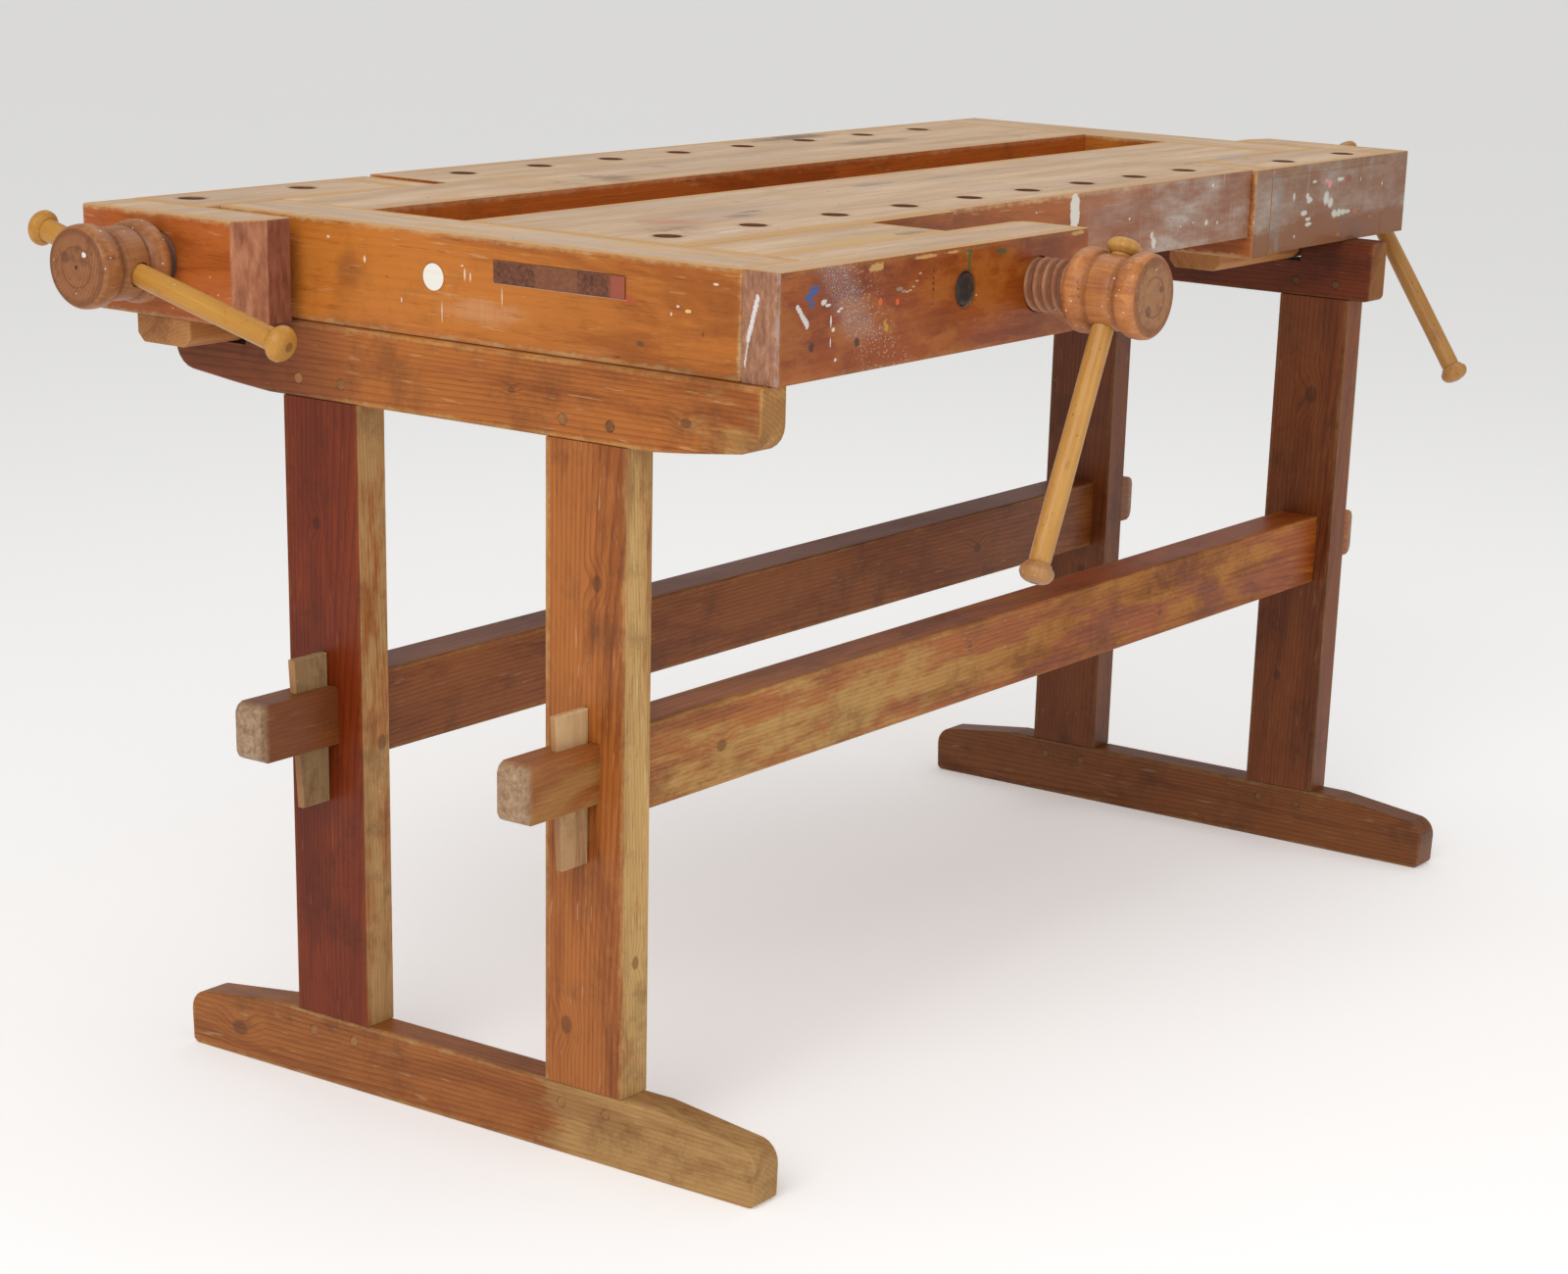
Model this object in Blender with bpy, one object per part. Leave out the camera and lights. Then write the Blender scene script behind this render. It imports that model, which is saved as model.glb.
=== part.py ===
"""Two-person joiner's bench: a slotted top with three wooden vises on two trestles."""

import bpy
import bmesh
import numpy as np
from mathutils import Vector

# driving dimensions, metres
TOP_Z = 0.840
BOARD_Z = 0.7456
PLANK_Z = 0.766
CARRIAGE_Z = 0.7456
JAW_Z = 0.742
BEAM_TOP_Z = 0.7453
BEAM_LOW_Z = 0.676
FOOT_Z = 0.070
GAP = 0.0003

LEFT_END = -0.7225
RIGHT_END = 0.7395
BOARD_W = 0.084
NEAR_EDGE = -0.140
STEP_EDGE = -0.150
STEP_X = -0.2075
TRAY_NEAR = 0.105
TRAY_FAR = 0.220
FAR_EDGE = 0.437
TRAY_FLOOR_Z = 0.783
TRAY_FLOOR_T = 0.014
RABBET_W = 0.010

ARM_NEAR = -0.312
ARM_FAR = -0.234
ARM_RIGHT = -0.2225
ARM_LAP = -0.273
SPACER_RIGHT = -0.3525

FRONT_AXIS_X = -0.3125
FRONT_AXIS_Z = 0.7956
FRONT_EXPOSED = 0.044
CHOP_X = (-0.3515, -0.2320)
CHOP_Y = (-0.2335, -0.1955)
CHOP_Z = (0.728, 0.828)

# tail vise, u runs out along the bench and v runs out across it
V_SUM = 0.281
BLOCK_U = (0.7405, 0.8055)
BLOCK_V = (0.225, 0.428)
SLOT_V = 0.3333
CAVITY_V = (0.2990, 0.3672)
COVER_T = 0.010
JAW_U = (0.4195, 0.4575)
TAIL_AXIS_V = {"left": 0.333, "right": 0.337}
TAIL_AXIS_Z = {"left": 0.798, "right": 0.796}
TAIL_EXPOSED = {"left": 0.010, "right": 0.0165}
TAIL_HUB = {"left": (1.08, 0.955), "right": (1.0, 0.91)}
TAIL_TIP_U = 0.500
RAIL_Z = (0.719, 0.7453)
RAIL_U = (0.4580, 0.7985)
FIXED_JAW = {"left": 0.4015, "right": 0.4187}
LIP_T = 0.0095

THREAD_R = 0.0255
BORE_R = 0.0260
BAR_R = 0.0110
BAR_BORE_R = 0.0117
KNOB_R = 0.0165
HANDLE_S = 0.036
BARREL_R = 0.0370

POST_X = 0.037
LEFT_TRESTLE_X = (-0.7315, -0.6945)
RIGHT_TRESTLE_X = (0.6502, 0.6872)
POST_Y = {"near": (-0.1582, -0.0672), "far": (0.1568, 0.2478)}
FOOT_Y = (-0.3125, 0.3978)
BEAM_Y = {"left": (-0.3012, 0.3868), "right": (-0.1852, 0.3978)}
TENON_T = 0.013
TENON_EDGE = 0.010
FOOT_TENON = 0.045
BEAM_TENON = 0.036
PEG_R = 0.0050

STRETCHER_T = 0.051
STRETCHER_Z = (0.334, 0.415)
STRETCHER_TENON_Z = (0.3505, 0.406)
STRETCHER_TENON_T = 0.0316
STRETCHER_Y = {"near": -0.1137, "far": 0.2033}
TENON_TIP = (-0.8360, 0.7655)
WEDGE_Y = {"near": -0.1137, "far": 0.2033}
WEDGE_T = 0.008
WEDGE_W = (0.0375, 0.0465)
WEDGE_Z = (0.292, 0.438)

DOG_R = 0.0130
NEAR_DOG_Y = -0.089
FAR_DOG_Y = 0.386
NEAR_DOGS = (-0.5875, -0.4575, -0.3255, -0.2055, -0.0875, 0.0235, 0.1335, 0.2435, 0.3535)
FAR_DOGS = (-0.3165, -0.1935, -0.0725, 0.0485, 0.1695, 0.2905, 0.4115, 0.5325)
BOARD_DOG_U = (0.5485, 0.6985)
BOARD_DOG_V = 0.392

BOLT_X = -0.438
BOLT_Z = 0.802
BOLT_R = 0.007
BOLT_HEAD_R = 0.0150


def clear_scene():
    for item in list(bpy.data.objects):
        bpy.data.objects.remove(item, do_unlink=True)
    for mesh in list(bpy.data.meshes):
        bpy.data.meshes.remove(mesh)


def material(name, color, roughness, metallic=0.0):
    made = bpy.data.materials.new(name)
    made.use_nodes = True
    shader = made.node_tree.nodes["Principled BSDF"]
    shader.inputs["Base Color"].default_value = (*color, 1.0)
    shader.inputs["Roughness"].default_value = roughness
    shader.inputs["Metallic"].default_value = metallic
    made.diffuse_color = (*color, 1.0)
    return made


def add_object(name, mesh, finish):
    mesh.materials.clear()
    mesh.materials.append(finish)
    made = bpy.data.objects.new(name, mesh)
    bpy.context.scene.collection.objects.link(made)
    return made


def mesh_from(name, verts, faces):
    mesh = bpy.data.meshes.new(name)
    mesh.from_pydata([tuple(v) for v in verts], [], faces)
    work = bmesh.new()
    work.from_mesh(mesh)
    bmesh.ops.recalc_face_normals(work, faces=work.faces)
    work.to_mesh(mesh)
    work.free()
    return mesh


def bevel_mesh(mesh, width, angle=0.6, segments=1):
    work = bmesh.new()
    work.from_mesh(mesh)
    sharp = [e for e in work.edges if e.is_convex and e.calc_face_angle(0.0) > angle]
    bmesh.ops.bevel(work, geom=sharp, offset=width, segments=segments,
                    profile=0.5, affect="EDGES", clamp_overlap=True)
    work.to_mesh(mesh)
    work.free()


def prism(name, outline, axis, low, high, finish, bevel=0.0):
    """A flat outline of the two other axes, in order, drawn along one axis."""
    others = [i for i in range(3) if i != axis]
    verts = []
    for level in (low, high):
        for a, b in outline:
            point = [0.0, 0.0, 0.0]
            point[axis] = level
            point[others[0]] = a
            point[others[1]] = b
            verts.append(point)
    n = len(outline)
    faces = [tuple(range(n)), tuple(range(2 * n - 1, n - 1, -1))]
    for i in range(n):
        j = (i + 1) % n
        faces.append((i, j, n + j, n + i))
    mesh = mesh_from(name, verts, faces)
    if bevel:
        bevel_mesh(mesh, bevel)
    return add_object(name, mesh, finish)


def block(name, xs, ys, zs, finish, bevel=0.0):
    x0, x1 = sorted(xs)
    y0, y1 = sorted(ys)
    z0, z1 = sorted(zs)
    outline = [(y0, z0), (y1, z0), (y1, z1), (y0, z1)]
    return prism(name, outline, 0, x0, x1, finish, bevel)


def side_axes(direction):
    d = Vector(direction).normalized()
    helper = Vector((0.0, 0.0, 1.0)) if abs(d.z) < 0.9 else Vector((1.0, 0.0, 0.0))
    a = d.cross(helper).normalized()
    return d, a, d.cross(a).normalized()


def turned(name, origin, direction, profile, finish, segments=48):
    """A turned piece. The profile holds (distance along the axis, radius) from end to end."""
    d, a, b = side_axes(direction)
    base = Vector(origin)
    verts = []
    rings = []
    for along, radius in profile:
        if radius < 1e-6:
            rings.append([len(verts)])
            verts.append(base + d * along)
            continue
        ring = []
        for k in range(segments):
            turn = 2.0 * np.pi * k / segments
            ring.append(len(verts))
            verts.append(base + d * along + a * (radius * np.cos(turn)) + b * (radius * np.sin(turn)))
        rings.append(ring)
    faces = []
    for first, second in zip(rings[:-1], rings[1:]):
        for k in range(segments):
            m = (k + 1) % segments
            if len(first) == 1:
                faces.append((first[0], second[k], second[m]))
            elif len(second) == 1:
                faces.append((first[k], second[0], first[m]))
            else:
                faces.append((first[k], second[k], second[m], first[m]))
    mesh = mesh_from(name, verts, faces)
    for face in mesh.polygons:
        face.use_smooth = True
    return add_object(name, mesh, finish)


def rod(origin, direction, start, end, radius, segments=28):
    profile = [(start, 0.0), (start, radius), (end, radius), (end, 0.0)]
    return turned("tool", origin, direction, profile, TOOL, segments)


def cut(target, tools):
    """Takes each tool away from the target and removes the tool."""
    for tool in tools:
        step = target.modifiers.new("cut", "BOOLEAN")
        step.operation = "DIFFERENCE"
        step.solver = "EXACT"
        step.object = tool
    bpy.context.view_layer.update()
    graph = bpy.context.evaluated_depsgraph_get()
    result = bpy.data.meshes.new_from_object(target.evaluated_get(graph))
    target.modifiers.clear()
    target.data = result
    target.data.name = target.name
    for tool in tools:
        bpy.data.objects.remove(tool, do_unlink=True)
    return target


def flat_where_flat(target):
    """Keeps curved walls smooth and marks flat faces flat."""
    for face in target.data.polygons:
        normal = face.normal
        straight = max(abs(normal.x), abs(normal.y), abs(normal.z)) > 0.9999
        face.use_smooth = not straight


def corner_arc(center, radius, start, end, steps=5):
    points = []
    for k in range(steps + 1):
        turn = np.radians(start + (end - start) * k / steps)
        points.append((center[0] + radius * np.cos(turn), center[1] + radius * np.sin(turn)))
    return points


# trestles

def make_foot(side, xs):
    y0, y1 = FOOT_Y
    outline = [(y0 + 0.006, 0.0), (y1 - 0.006, 0.0), (y1 - 0.001, 0.004)]
    outline += corner_arc((y1 - 0.022, 0.036), 0.022, 0, 75)
    outline += [(y1 - 0.120, FOOT_Z), (y0 + 0.120, FOOT_Z)]
    outline += corner_arc((y0 + 0.022, 0.036), 0.022, 105, 180)
    outline += [(y0 + 0.001, 0.004)]
    foot = prism(side + "_foot", outline, 0, xs[0], xs[1], PINE, 0.0015)
    tools = []
    for post in POST_Y.values():
        tools.append(tenon_slot(xs, post, FOOT_Z - FOOT_TENON - 0.0006, FOOT_Z + 0.01))
        tools += peg_bores(xs, post, FOOT_Z - 0.019)
    return cut(foot, tools)


def make_beam(side, xs):
    y0, y1 = BEAM_Y[side]
    outline = [(y1, BEAM_TOP_Z - 0.002), (y1 - 0.001, BEAM_TOP_Z), (y0 + 0.001, BEAM_TOP_Z),
               (y0, BEAM_TOP_Z - 0.002)]
    if side == "left":
        outline += corner_arc((y0 + 0.024, BEAM_LOW_Z + 0.034), 0.024, 180, 262)
        outline += [(y0 + 0.080, BEAM_LOW_Z + 0.0035), (y0 + 0.120, BEAM_LOW_Z)]
    else:
        outline += corner_arc((y0 + 0.007, BEAM_LOW_Z + 0.007), 0.007, 180, 270, 3)
    outline += [(y1 - 0.120, BEAM_LOW_Z), (y1 - 0.080, BEAM_LOW_Z + 0.0035)]
    outline += corner_arc((y1 - 0.024, BEAM_LOW_Z + 0.034), 0.024, 278, 360)
    beam = prism(side + "_beam", outline, 0, xs[0], xs[1], PINE, 0.0015)
    tools = [rail_notch(side, xs)]
    for post in POST_Y.values():
        tools.append(tenon_slot(xs, post, BEAM_LOW_Z - 0.01, BEAM_LOW_Z + BEAM_TENON + 0.0006))
        tools += peg_bores(xs, post, BEAM_LOW_Z + 0.017)
    return cut(beam, tools)


def rail_notch(side, xs):
    if side == "left":
        ys = (CAVITY_V[0] - 0.004, CAVITY_V[1] + 0.004)
    else:
        ys = (V_SUM - CAVITY_V[1] - 0.004, V_SUM - CAVITY_V[0] + 0.004)
    return block("tool", (xs[0] - 0.01, xs[1] + 0.01), ys, (RAIL_Z[0] - 0.0025, BEAM_TOP_Z + 0.01), TOOL)


def tenon_slot(xs, post, low, high):
    mid = 0.5 * (xs[0] + xs[1])
    half = 0.5 * TENON_T + GAP
    ys = (post[0] + TENON_EDGE - GAP, post[1] - TENON_EDGE + GAP)
    return block("tool", (mid - half, mid + half), ys, (low, high), TOOL)


def peg_bores(xs, post, z):
    bores = []
    for y in peg_places(post):
        bores.append(rod((xs[0], y, z), (1, 0, 0), -0.01, POST_X + 0.01, PEG_R + GAP, 16))
    return bores


def peg_places(post):
    mid = 0.5 * (post[0] + post[1])
    return (mid - 0.0265, mid + 0.0265)


def make_post(side, row, xs):
    y0, y1 = POST_Y[row]
    mid = 0.5 * (xs[0] + xs[1])
    t0, t1 = mid - 0.5 * TENON_T, mid + 0.5 * TENON_T
    low, high = FOOT_Z + GAP, BEAM_LOW_Z - GAP
    tip, top = FOOT_Z - FOOT_TENON, BEAM_LOW_Z + BEAM_TENON
    blank = block(side + "_post_" + row, xs, (y0, y1), (tip, top), PINE)
    wide = 0.01
    tools = []
    for za, zb in ((tip - wide, low), (high, top + wide)):
        tools.append(block("tool", (xs[0] - wide, t0), (y0 - wide, y1 + wide), (za, zb), TOOL))
        tools.append(block("tool", (t1, xs[1] + wide), (y0 - wide, y1 + wide), (za, zb), TOOL))
        tools.append(block("tool", (t0 - wide, t1 + wide), (y0 - wide, y0 + TENON_EDGE), (za, zb), TOOL))
        tools.append(block("tool", (t0 - wide, t1 + wide), (y1 - TENON_EDGE, y1 + wide), (za, zb), TOOL))
    tools += peg_bores(xs, POST_Y[row], FOOT_Z - 0.019)
    tools += peg_bores(xs, POST_Y[row], BEAM_LOW_Z + 0.017)
    half = 0.5 * STRETCHER_TENON_T + GAP
    center = STRETCHER_Y[row]
    zs = (STRETCHER_TENON_Z[0] - GAP, STRETCHER_TENON_Z[1] + GAP)
    tools.append(block("tool", (xs[0] - wide, xs[1] + wide), (center - half, center + half), zs, TOOL))
    return cut(blank, tools)


def make_pegs(side, xs):
    count = 0
    for row, post in POST_Y.items():
        for place, z in (("foot", FOOT_Z - 0.019), ("beam", BEAM_LOW_Z + 0.017)):
            for y in peg_places(post):
                count += 1
                end = POST_X + 0.0006
                profile = [(-0.0006, 0.0), (-0.0006, PEG_R - 0.0008), (0.0002, PEG_R), (end - 0.0008, PEG_R),
                           (end, PEG_R - 0.0008), (end, 0.0)]
                turned(f"{side}_{place}_peg_{row}_{1 + count % 2}", (xs[0], y, z), (1, 0, 0),
                       profile, PINE_WEDGE, 16)


def make_stretcher(row):
    y = STRETCHER_Y[row]
    half = 0.5 * STRETCHER_T
    a, b = LEFT_TRESTLE_X[1] + GAP, RIGHT_TRESTLE_X[0] - GAP
    l, r = TENON_TIP
    z0, z1 = STRETCHER_Z
    t0, t1 = STRETCHER_TENON_Z
    c = 0.009
    outline = [(a, z0), (b, z0), (b, t0), (r - c, t0), (r - 0.003, t0 + 0.003), (r, t0 + c),
               (r, t1 - c), (r - 0.003, t1 - 0.003), (r - c, t1), (b, t1), (b, z1),
               (a, z1), (a, t1), (l + c, t1), (l + 0.003, t1 - 0.003), (l, t1 - c),
               (l, t0 + c), (l + 0.003, t0 + 0.003), (l + c, t0), (a, t0)]
    rail = prism(row + "_stretcher", outline, 1, y - half, y + half, PINE, 0.0012)
    thick = 0.5 * WEDGE_T + GAP
    ys = (WEDGE_Y[row] - thick, WEDGE_Y[row] + thick)
    reach = WEDGE_W[1] - 0.0015
    left = (LEFT_TRESTLE_X[0] - reach, LEFT_TRESTLE_X[0] + 0.005)
    right = (RIGHT_TRESTLE_X[1] - 0.005, RIGHT_TRESTLE_X[1] + reach)
    tools = [block("tool", xs, ys, (t0 - 0.01, t1 + 0.01), TOOL) for xs in (left, right)]
    thin = 0.5 * STRETCHER_TENON_T
    for xs in ((l - 0.01, a), (b, r + 0.01)):
        tools.append(block("tool", xs, (y - half - 0.01, y - thin), (t0 - 0.01, t1 + 0.01), TOOL))
        tools.append(block("tool", xs, (y + thin, y + half + 0.01), (t0 - 0.01, t1 + 0.01), TOOL))
    return cut(rail, tools)


def make_wedge(side, row):
    y = WEDGE_Y[row]
    low, high = WEDGE_Z
    w0, w1 = WEDGE_W
    if side == "left":
        face = LEFT_TRESTLE_X[0] - GAP
        outline = [(face, low), (face, high), (face - w1, high), (face - w0, low)]
    else:
        face = RIGHT_TRESTLE_X[1] + GAP
        outline = [(face, low), (face + w0, low), (face + w1, high), (face, high)]
    return prism(f"{side}_wedge_{row}", outline, 1, y - 0.5 * WEDGE_T, y + 0.5 * WEDGE_T, PINE_WEDGE, 0.001)


# top

def dog_bores(xs, y):
    return [rod((x, y, 0.0), (0, 0, 1), PLANK_Z - 0.03, TOP_Z + 0.01, DOG_R, 32) for x in xs]


def make_near_plank():
    a, b = LEFT_END + BOARD_W + GAP, RIGHT_END - BOARD_W - GAP
    jaw = FIXED_JAW["right"]
    lip = V_SUM - SLOT_V + GAP * 2
    outline = [(a, STEP_EDGE), (STEP_X - 0.004, STEP_EDGE), (STEP_X - 0.001, STEP_EDGE + 0.0015),
               (STEP_X, STEP_EDGE + 0.005), (STEP_X + 0.002, NEAR_EDGE), (jaw, NEAR_EDGE),
               (jaw, lip), (b, lip), (b, TRAY_NEAR), (a, TRAY_NEAR)]
    plank = prism("near_plank", outline, 2, PLANK_Z, TOP_Z, BEECH)
    wall = V_SUM - CAVITY_V[0] + GAP * 2
    tools = [
        block("tool", (jaw - 1e-5, b + 0.01), (lip - 0.02, wall), (PLANK_Z - 0.01, TOP_Z - LIP_T), TOOL),
        block("tool", (a - 0.01, b + 0.01), (TRAY_NEAR - RABBET_W, TRAY_NEAR + 0.02),
              (PLANK_Z - 0.01, TRAY_FLOOR_Z + GAP), TOOL),
    ]
    plank = cut(plank, tools)
    add_tenon(plank, LEFT_END + 0.0004, a + 0.01, (-0.147, 0.0), (0.802, 0.821))
    add_tenon(plank, b - 0.01, b + 0.040, (0.020, 0.085), (0.802, 0.821))
    cut(plank, dog_bores(NEAR_DOGS, NEAR_DOG_Y) + [rod((BOLT_X, 0, BOLT_Z), (0, 1, 0), -0.2, -0.040,
                                                       BOLT_R + GAP, 16)])
    flat_where_flat(plank)
    return plank


def make_far_plank():
    a, b = LEFT_END + BOARD_W + GAP, RIGHT_END - BOARD_W - GAP
    jaw = -FIXED_JAW["left"]
    lip = SLOT_V - GAP * 2
    outline = [(a, TRAY_FAR), (b, TRAY_FAR), (b, FAR_EDGE), (jaw, FAR_EDGE), (jaw, lip), (a, lip)]
    plank = prism("far_plank", outline, 2, PLANK_Z, TOP_Z, BEECH)
    wall = CAVITY_V[0] - GAP * 2
    tools = [
        block("tool", (a - 0.01, jaw + 1e-5), (wall, lip + 0.02), (PLANK_Z - 0.01, TOP_Z - LIP_T), TOOL),
        block("tool", (a - 0.01, b + 0.01), (TRAY_FAR - 0.02, TRAY_FAR + RABBET_W),
              (PLANK_Z - 0.01, TRAY_FLOOR_Z + GAP), TOOL),
    ]
    plank = cut(plank, tools)
    add_tenon(plank, b - 0.01, RIGHT_END - 0.0004, (0.285, 0.415), (0.802, 0.821))
    add_tenon(plank, a - 0.040, a + 0.01, (0.232, 0.285), (0.802, 0.821))
    cut(plank, dog_bores(FAR_DOGS, FAR_DOG_Y))
    flat_where_flat(plank)
    return plank


def add_tenon(target, x0, x1, ys, zs):
    tongue = block("tool", (x0, x1), ys, zs, TOOL)
    step = target.modifiers.new("join", "BOOLEAN")
    step.operation = "UNION"
    step.solver = "EXACT"
    step.object = tongue
    bpy.context.view_layer.update()
    graph = bpy.context.evaluated_depsgraph_get()
    result = bpy.data.meshes.new_from_object(target.evaluated_get(graph))
    target.modifiers.clear()
    target.data = result
    target.data.name = target.name
    target.data.materials.clear()
    target.data.materials.append(BEECH)
    bpy.data.objects.remove(tongue, do_unlink=True)


def mortise(xs, ys, zs):
    return block("tool", xs, (ys[0] - GAP, ys[1] + GAP), (zs[0] - GAP, zs[1] + GAP), TOOL)


def make_left_end_board():
    x0, x1 = LEFT_END, LEFT_END + BOARD_W
    top, step = SLOT_V - GAP * 2, CAVITY_V[1] - GAP * 2
    low = TOP_Z - COVER_T - 0.0007
    outline = [(ARM_LAP + GAP, BOARD_Z), (step, BOARD_Z), (step, low), (top, low), (top, TOP_Z),
               (ARM_LAP + GAP, TOP_Z)]
    board = prism("left_end_board", outline, 0, x0, x1, BEECH)
    tools = [
        mortise((x0 - 0.01, x1 + 0.01), (-0.147, 0.0), (0.802, 0.821)),
        mortise((x1 - 0.0405, x1 + 0.01), (0.232, 0.285), (0.802, 0.821)),
        rod((x0, TAIL_AXIS_V["left"], TAIL_AXIS_Z["left"]), (1, 0, 0), -0.01, BOARD_W + 0.01, BORE_R, 40),
    ]
    cut(board, tools)
    flat_where_flat(board)
    return board


def make_right_end_board():
    x0, x1 = RIGHT_END - BOARD_W, RIGHT_END
    top, step = V_SUM - SLOT_V + GAP * 2, V_SUM - CAVITY_V[1] + GAP * 2
    low = TOP_Z - COVER_T - 0.0007
    outline = [(FAR_EDGE, BOARD_Z), (FAR_EDGE, TOP_Z), (top, TOP_Z), (top, low), (step, low), (step, BOARD_Z)]
    board = prism("right_end_board", outline, 0, x0, x1, BEECH)
    tools = [
        mortise((x0 - 0.01, x1 + 0.01), (0.285, 0.415), (0.802, 0.821)),
        mortise((x0 - 0.01, x0 + 0.0405), (0.020, 0.085), (0.802, 0.821)),
        rod((x1, V_SUM - TAIL_AXIS_V["right"], TAIL_AXIS_Z["right"]), (-1, 0, 0), -0.01, BOARD_W + 0.01,
            BORE_R, 40),
    ]
    cut(board, tools)
    flat_where_flat(board)
    return board


def make_tray_board():
    xs = (LEFT_END + BOARD_W + GAP, RIGHT_END - BOARD_W - GAP)
    ys = (TRAY_NEAR - RABBET_W + GAP, TRAY_FAR + RABBET_W - GAP)
    return block("tray_board", xs, ys, (TRAY_FLOOR_Z - TRAY_FLOOR_T, TRAY_FLOOR_Z), PINE)


def make_arm():
    x0, x1 = LEFT_END, ARM_RIGHT
    shoulder = LEFT_END + BOARD_W + GAP
    outline = [(x0, ARM_NEAR), (x1 - 0.003, ARM_NEAR), (x1, ARM_NEAR + 0.004), (x1, ARM_FAR - 0.014),
               (x1 - 0.004, ARM_FAR - 0.005), (x1 - 0.014, ARM_FAR), (shoulder, ARM_FAR),
               (shoulder, ARM_LAP), (x0, ARM_LAP)]
    arm = prism("vise_arm", outline, 2, BOARD_Z, TOP_Z, BEECH)
    tools = [
        rod((FRONT_AXIS_X, ARM_NEAR, FRONT_AXIS_Z), (0, 1, 0), -0.01, 0.1, BORE_R, 40),
        rod((BOLT_X, ARM_NEAR, BOLT_Z), (0, 1, 0), -0.01, 0.1, BOLT_R + GAP, 20),
        rod((BOLT_X, ARM_NEAR, BOLT_Z), (0, 1, 0), -0.01, 0.004, BOLT_HEAD_R + 0.001, 24),
    ]
    cut(arm, tools)
    flat_where_flat(arm)
    return arm


def make_spacer():
    xs = (LEFT_END + BOARD_W + GAP, SPACER_RIGHT)
    ys = (ARM_FAR + GAP, STEP_EDGE - GAP)
    spacer = block("arm_spacer", xs, ys, (BOARD_Z, TOP_Z), BEECH)
    cut(spacer, [rod((BOLT_X, ARM_FAR, BOLT_Z), (0, 1, 0), -0.01, 0.1, BOLT_R + GAP, 20)])
    flat_where_flat(spacer)
    return spacer


def make_bolt():
    profile = [(-0.0015, 0.0), (-0.0015, 0.0105), (-0.0003, 0.0140), (0.0010, BOLT_HEAD_R),
               (0.0036, BOLT_HEAD_R), (0.0036, BOLT_R), (0.2640, BOLT_R), (0.2660, BOLT_R - 0.002),
               (0.2660, 0.0)]
    return turned("arm_bolt", (BOLT_X, ARM_NEAR, BOLT_Z), (0, 1, 0), profile, STEEL, 24)


# vises

HUB = [(0.0000, THREAD_R), (0.0006, 0.0300), (0.0030, 0.0362), (0.0075, 0.0392), (0.0140, 0.0396),
       (0.0190, 0.0386), (0.0225, 0.0362), (0.0245, 0.0345), (0.0270, 0.0347), (0.0340, 0.0350),
       (0.0440, 0.0346), (0.0500, 0.0334), (0.0530, 0.0322), (0.0552, 0.0326), (0.0575, 0.0362),
       (0.0620, 0.0388), (0.0700, 0.0397), (0.0765, 0.0388), (0.0797, 0.0360), (0.0810, 0.0322),
       (0.0804, 0.0120), (0.0808, 0.0)]


def make_screw(name, origin, outward, hub_at, tip, pin, size=(1.0, 1.0)):
    """A wooden screw with its turned head. Distances run outward from the seat face."""
    long, wide = size
    profile = [(tip, 0.0)]
    if pin:
        profile += [(tip, 0.0135), (tip + 0.0015, 0.0150), (tip + pin, 0.0150), (tip + pin, THREAD_R)]
    else:
        profile += [(tip, THREAD_R - 0.003), (tip + 0.003, THREAD_R)]
    profile += [(hub_at + s * long, max(r * wide, THREAD_R) if s < 0.001 else r * wide) for s, r in HUB]
    return turned(name, origin, outward, profile, TURNED, 48)


def bore_hub(screw, origin, outward, bar_at, bar):
    center = Vector(origin) + Vector(outward) * bar_at
    cut(screw, [rod(center, bar, -0.06, 0.06, BAR_BORE_R, 32)])
    for face in screw.data.polygons:
        face.use_smooth = True
    return center


def make_handle(name, center, bar, short, long):
    """The bar runs along bar. The fixed knob sits short of the axis and the loose knob long of it."""
    k = KNOB_R
    profile = [(-long + 0.0045, 0.0), (-long + 0.0045, BAR_R - 0.002), (-long + 0.006, BAR_R - 0.0012),
               (short - 0.0050, BAR_R - 0.0002), (short - 0.0047, BAR_R + 0.001), (short - 0.0032, k - 0.003),
               (short - 0.0005, k), (short + 0.0035, k), (short + 0.0078, k - 0.003),
               (short + 0.0103, k - 0.008), (short + 0.0112, 0.0)]
    turned(name, center, bar, profile, HANDLE, 28)
    loose = [(-0.0125, 0.0), (-0.0115, k - 0.008), (-0.0085, k - 0.003), (-0.0035, k), (0.0010, k),
             (0.0045, k - 0.003), (0.0070, BAR_R + 0.001), (0.0075, BAR_R - 0.0001), (0.0075, BAR_R - 0.0009),
             (0.0040, BAR_R - 0.0009), (0.0040, 0.0)]
    knob_at = Vector(center) - Vector(bar).normalized() * long
    turned(name + "_knob", knob_at, bar, loose, HANDLE, 28)


def make_chop():
    chop = block("front_jaw_board", CHOP_X, CHOP_Y, CHOP_Z, BEECH, 0.0015)
    socket = rod((FRONT_AXIS_X, CHOP_Y[0], FRONT_AXIS_Z), (0, 1, 0), -0.01, 0.0135, 0.0155, 28)
    cut(chop, [socket])
    flat_where_flat(chop)
    return chop


def make_front_vise():
    make_chop()
    origin = (FRONT_AXIS_X, ARM_NEAR, FRONT_AXIS_Z)
    outward = (0.0, -1.0, 0.0)
    tip = -(CHOP_Y[0] - ARM_NEAR) - 0.0120
    screw = make_screw("front_screw", origin, outward, FRONT_EXPOSED, tip, 0.0123)
    center = bore_hub(screw, origin, outward, FRONT_EXPOSED + HANDLE_S, FRONT_BAR)
    make_handle("front_handle", center, FRONT_BAR, 0.0404, 0.2650)


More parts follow.
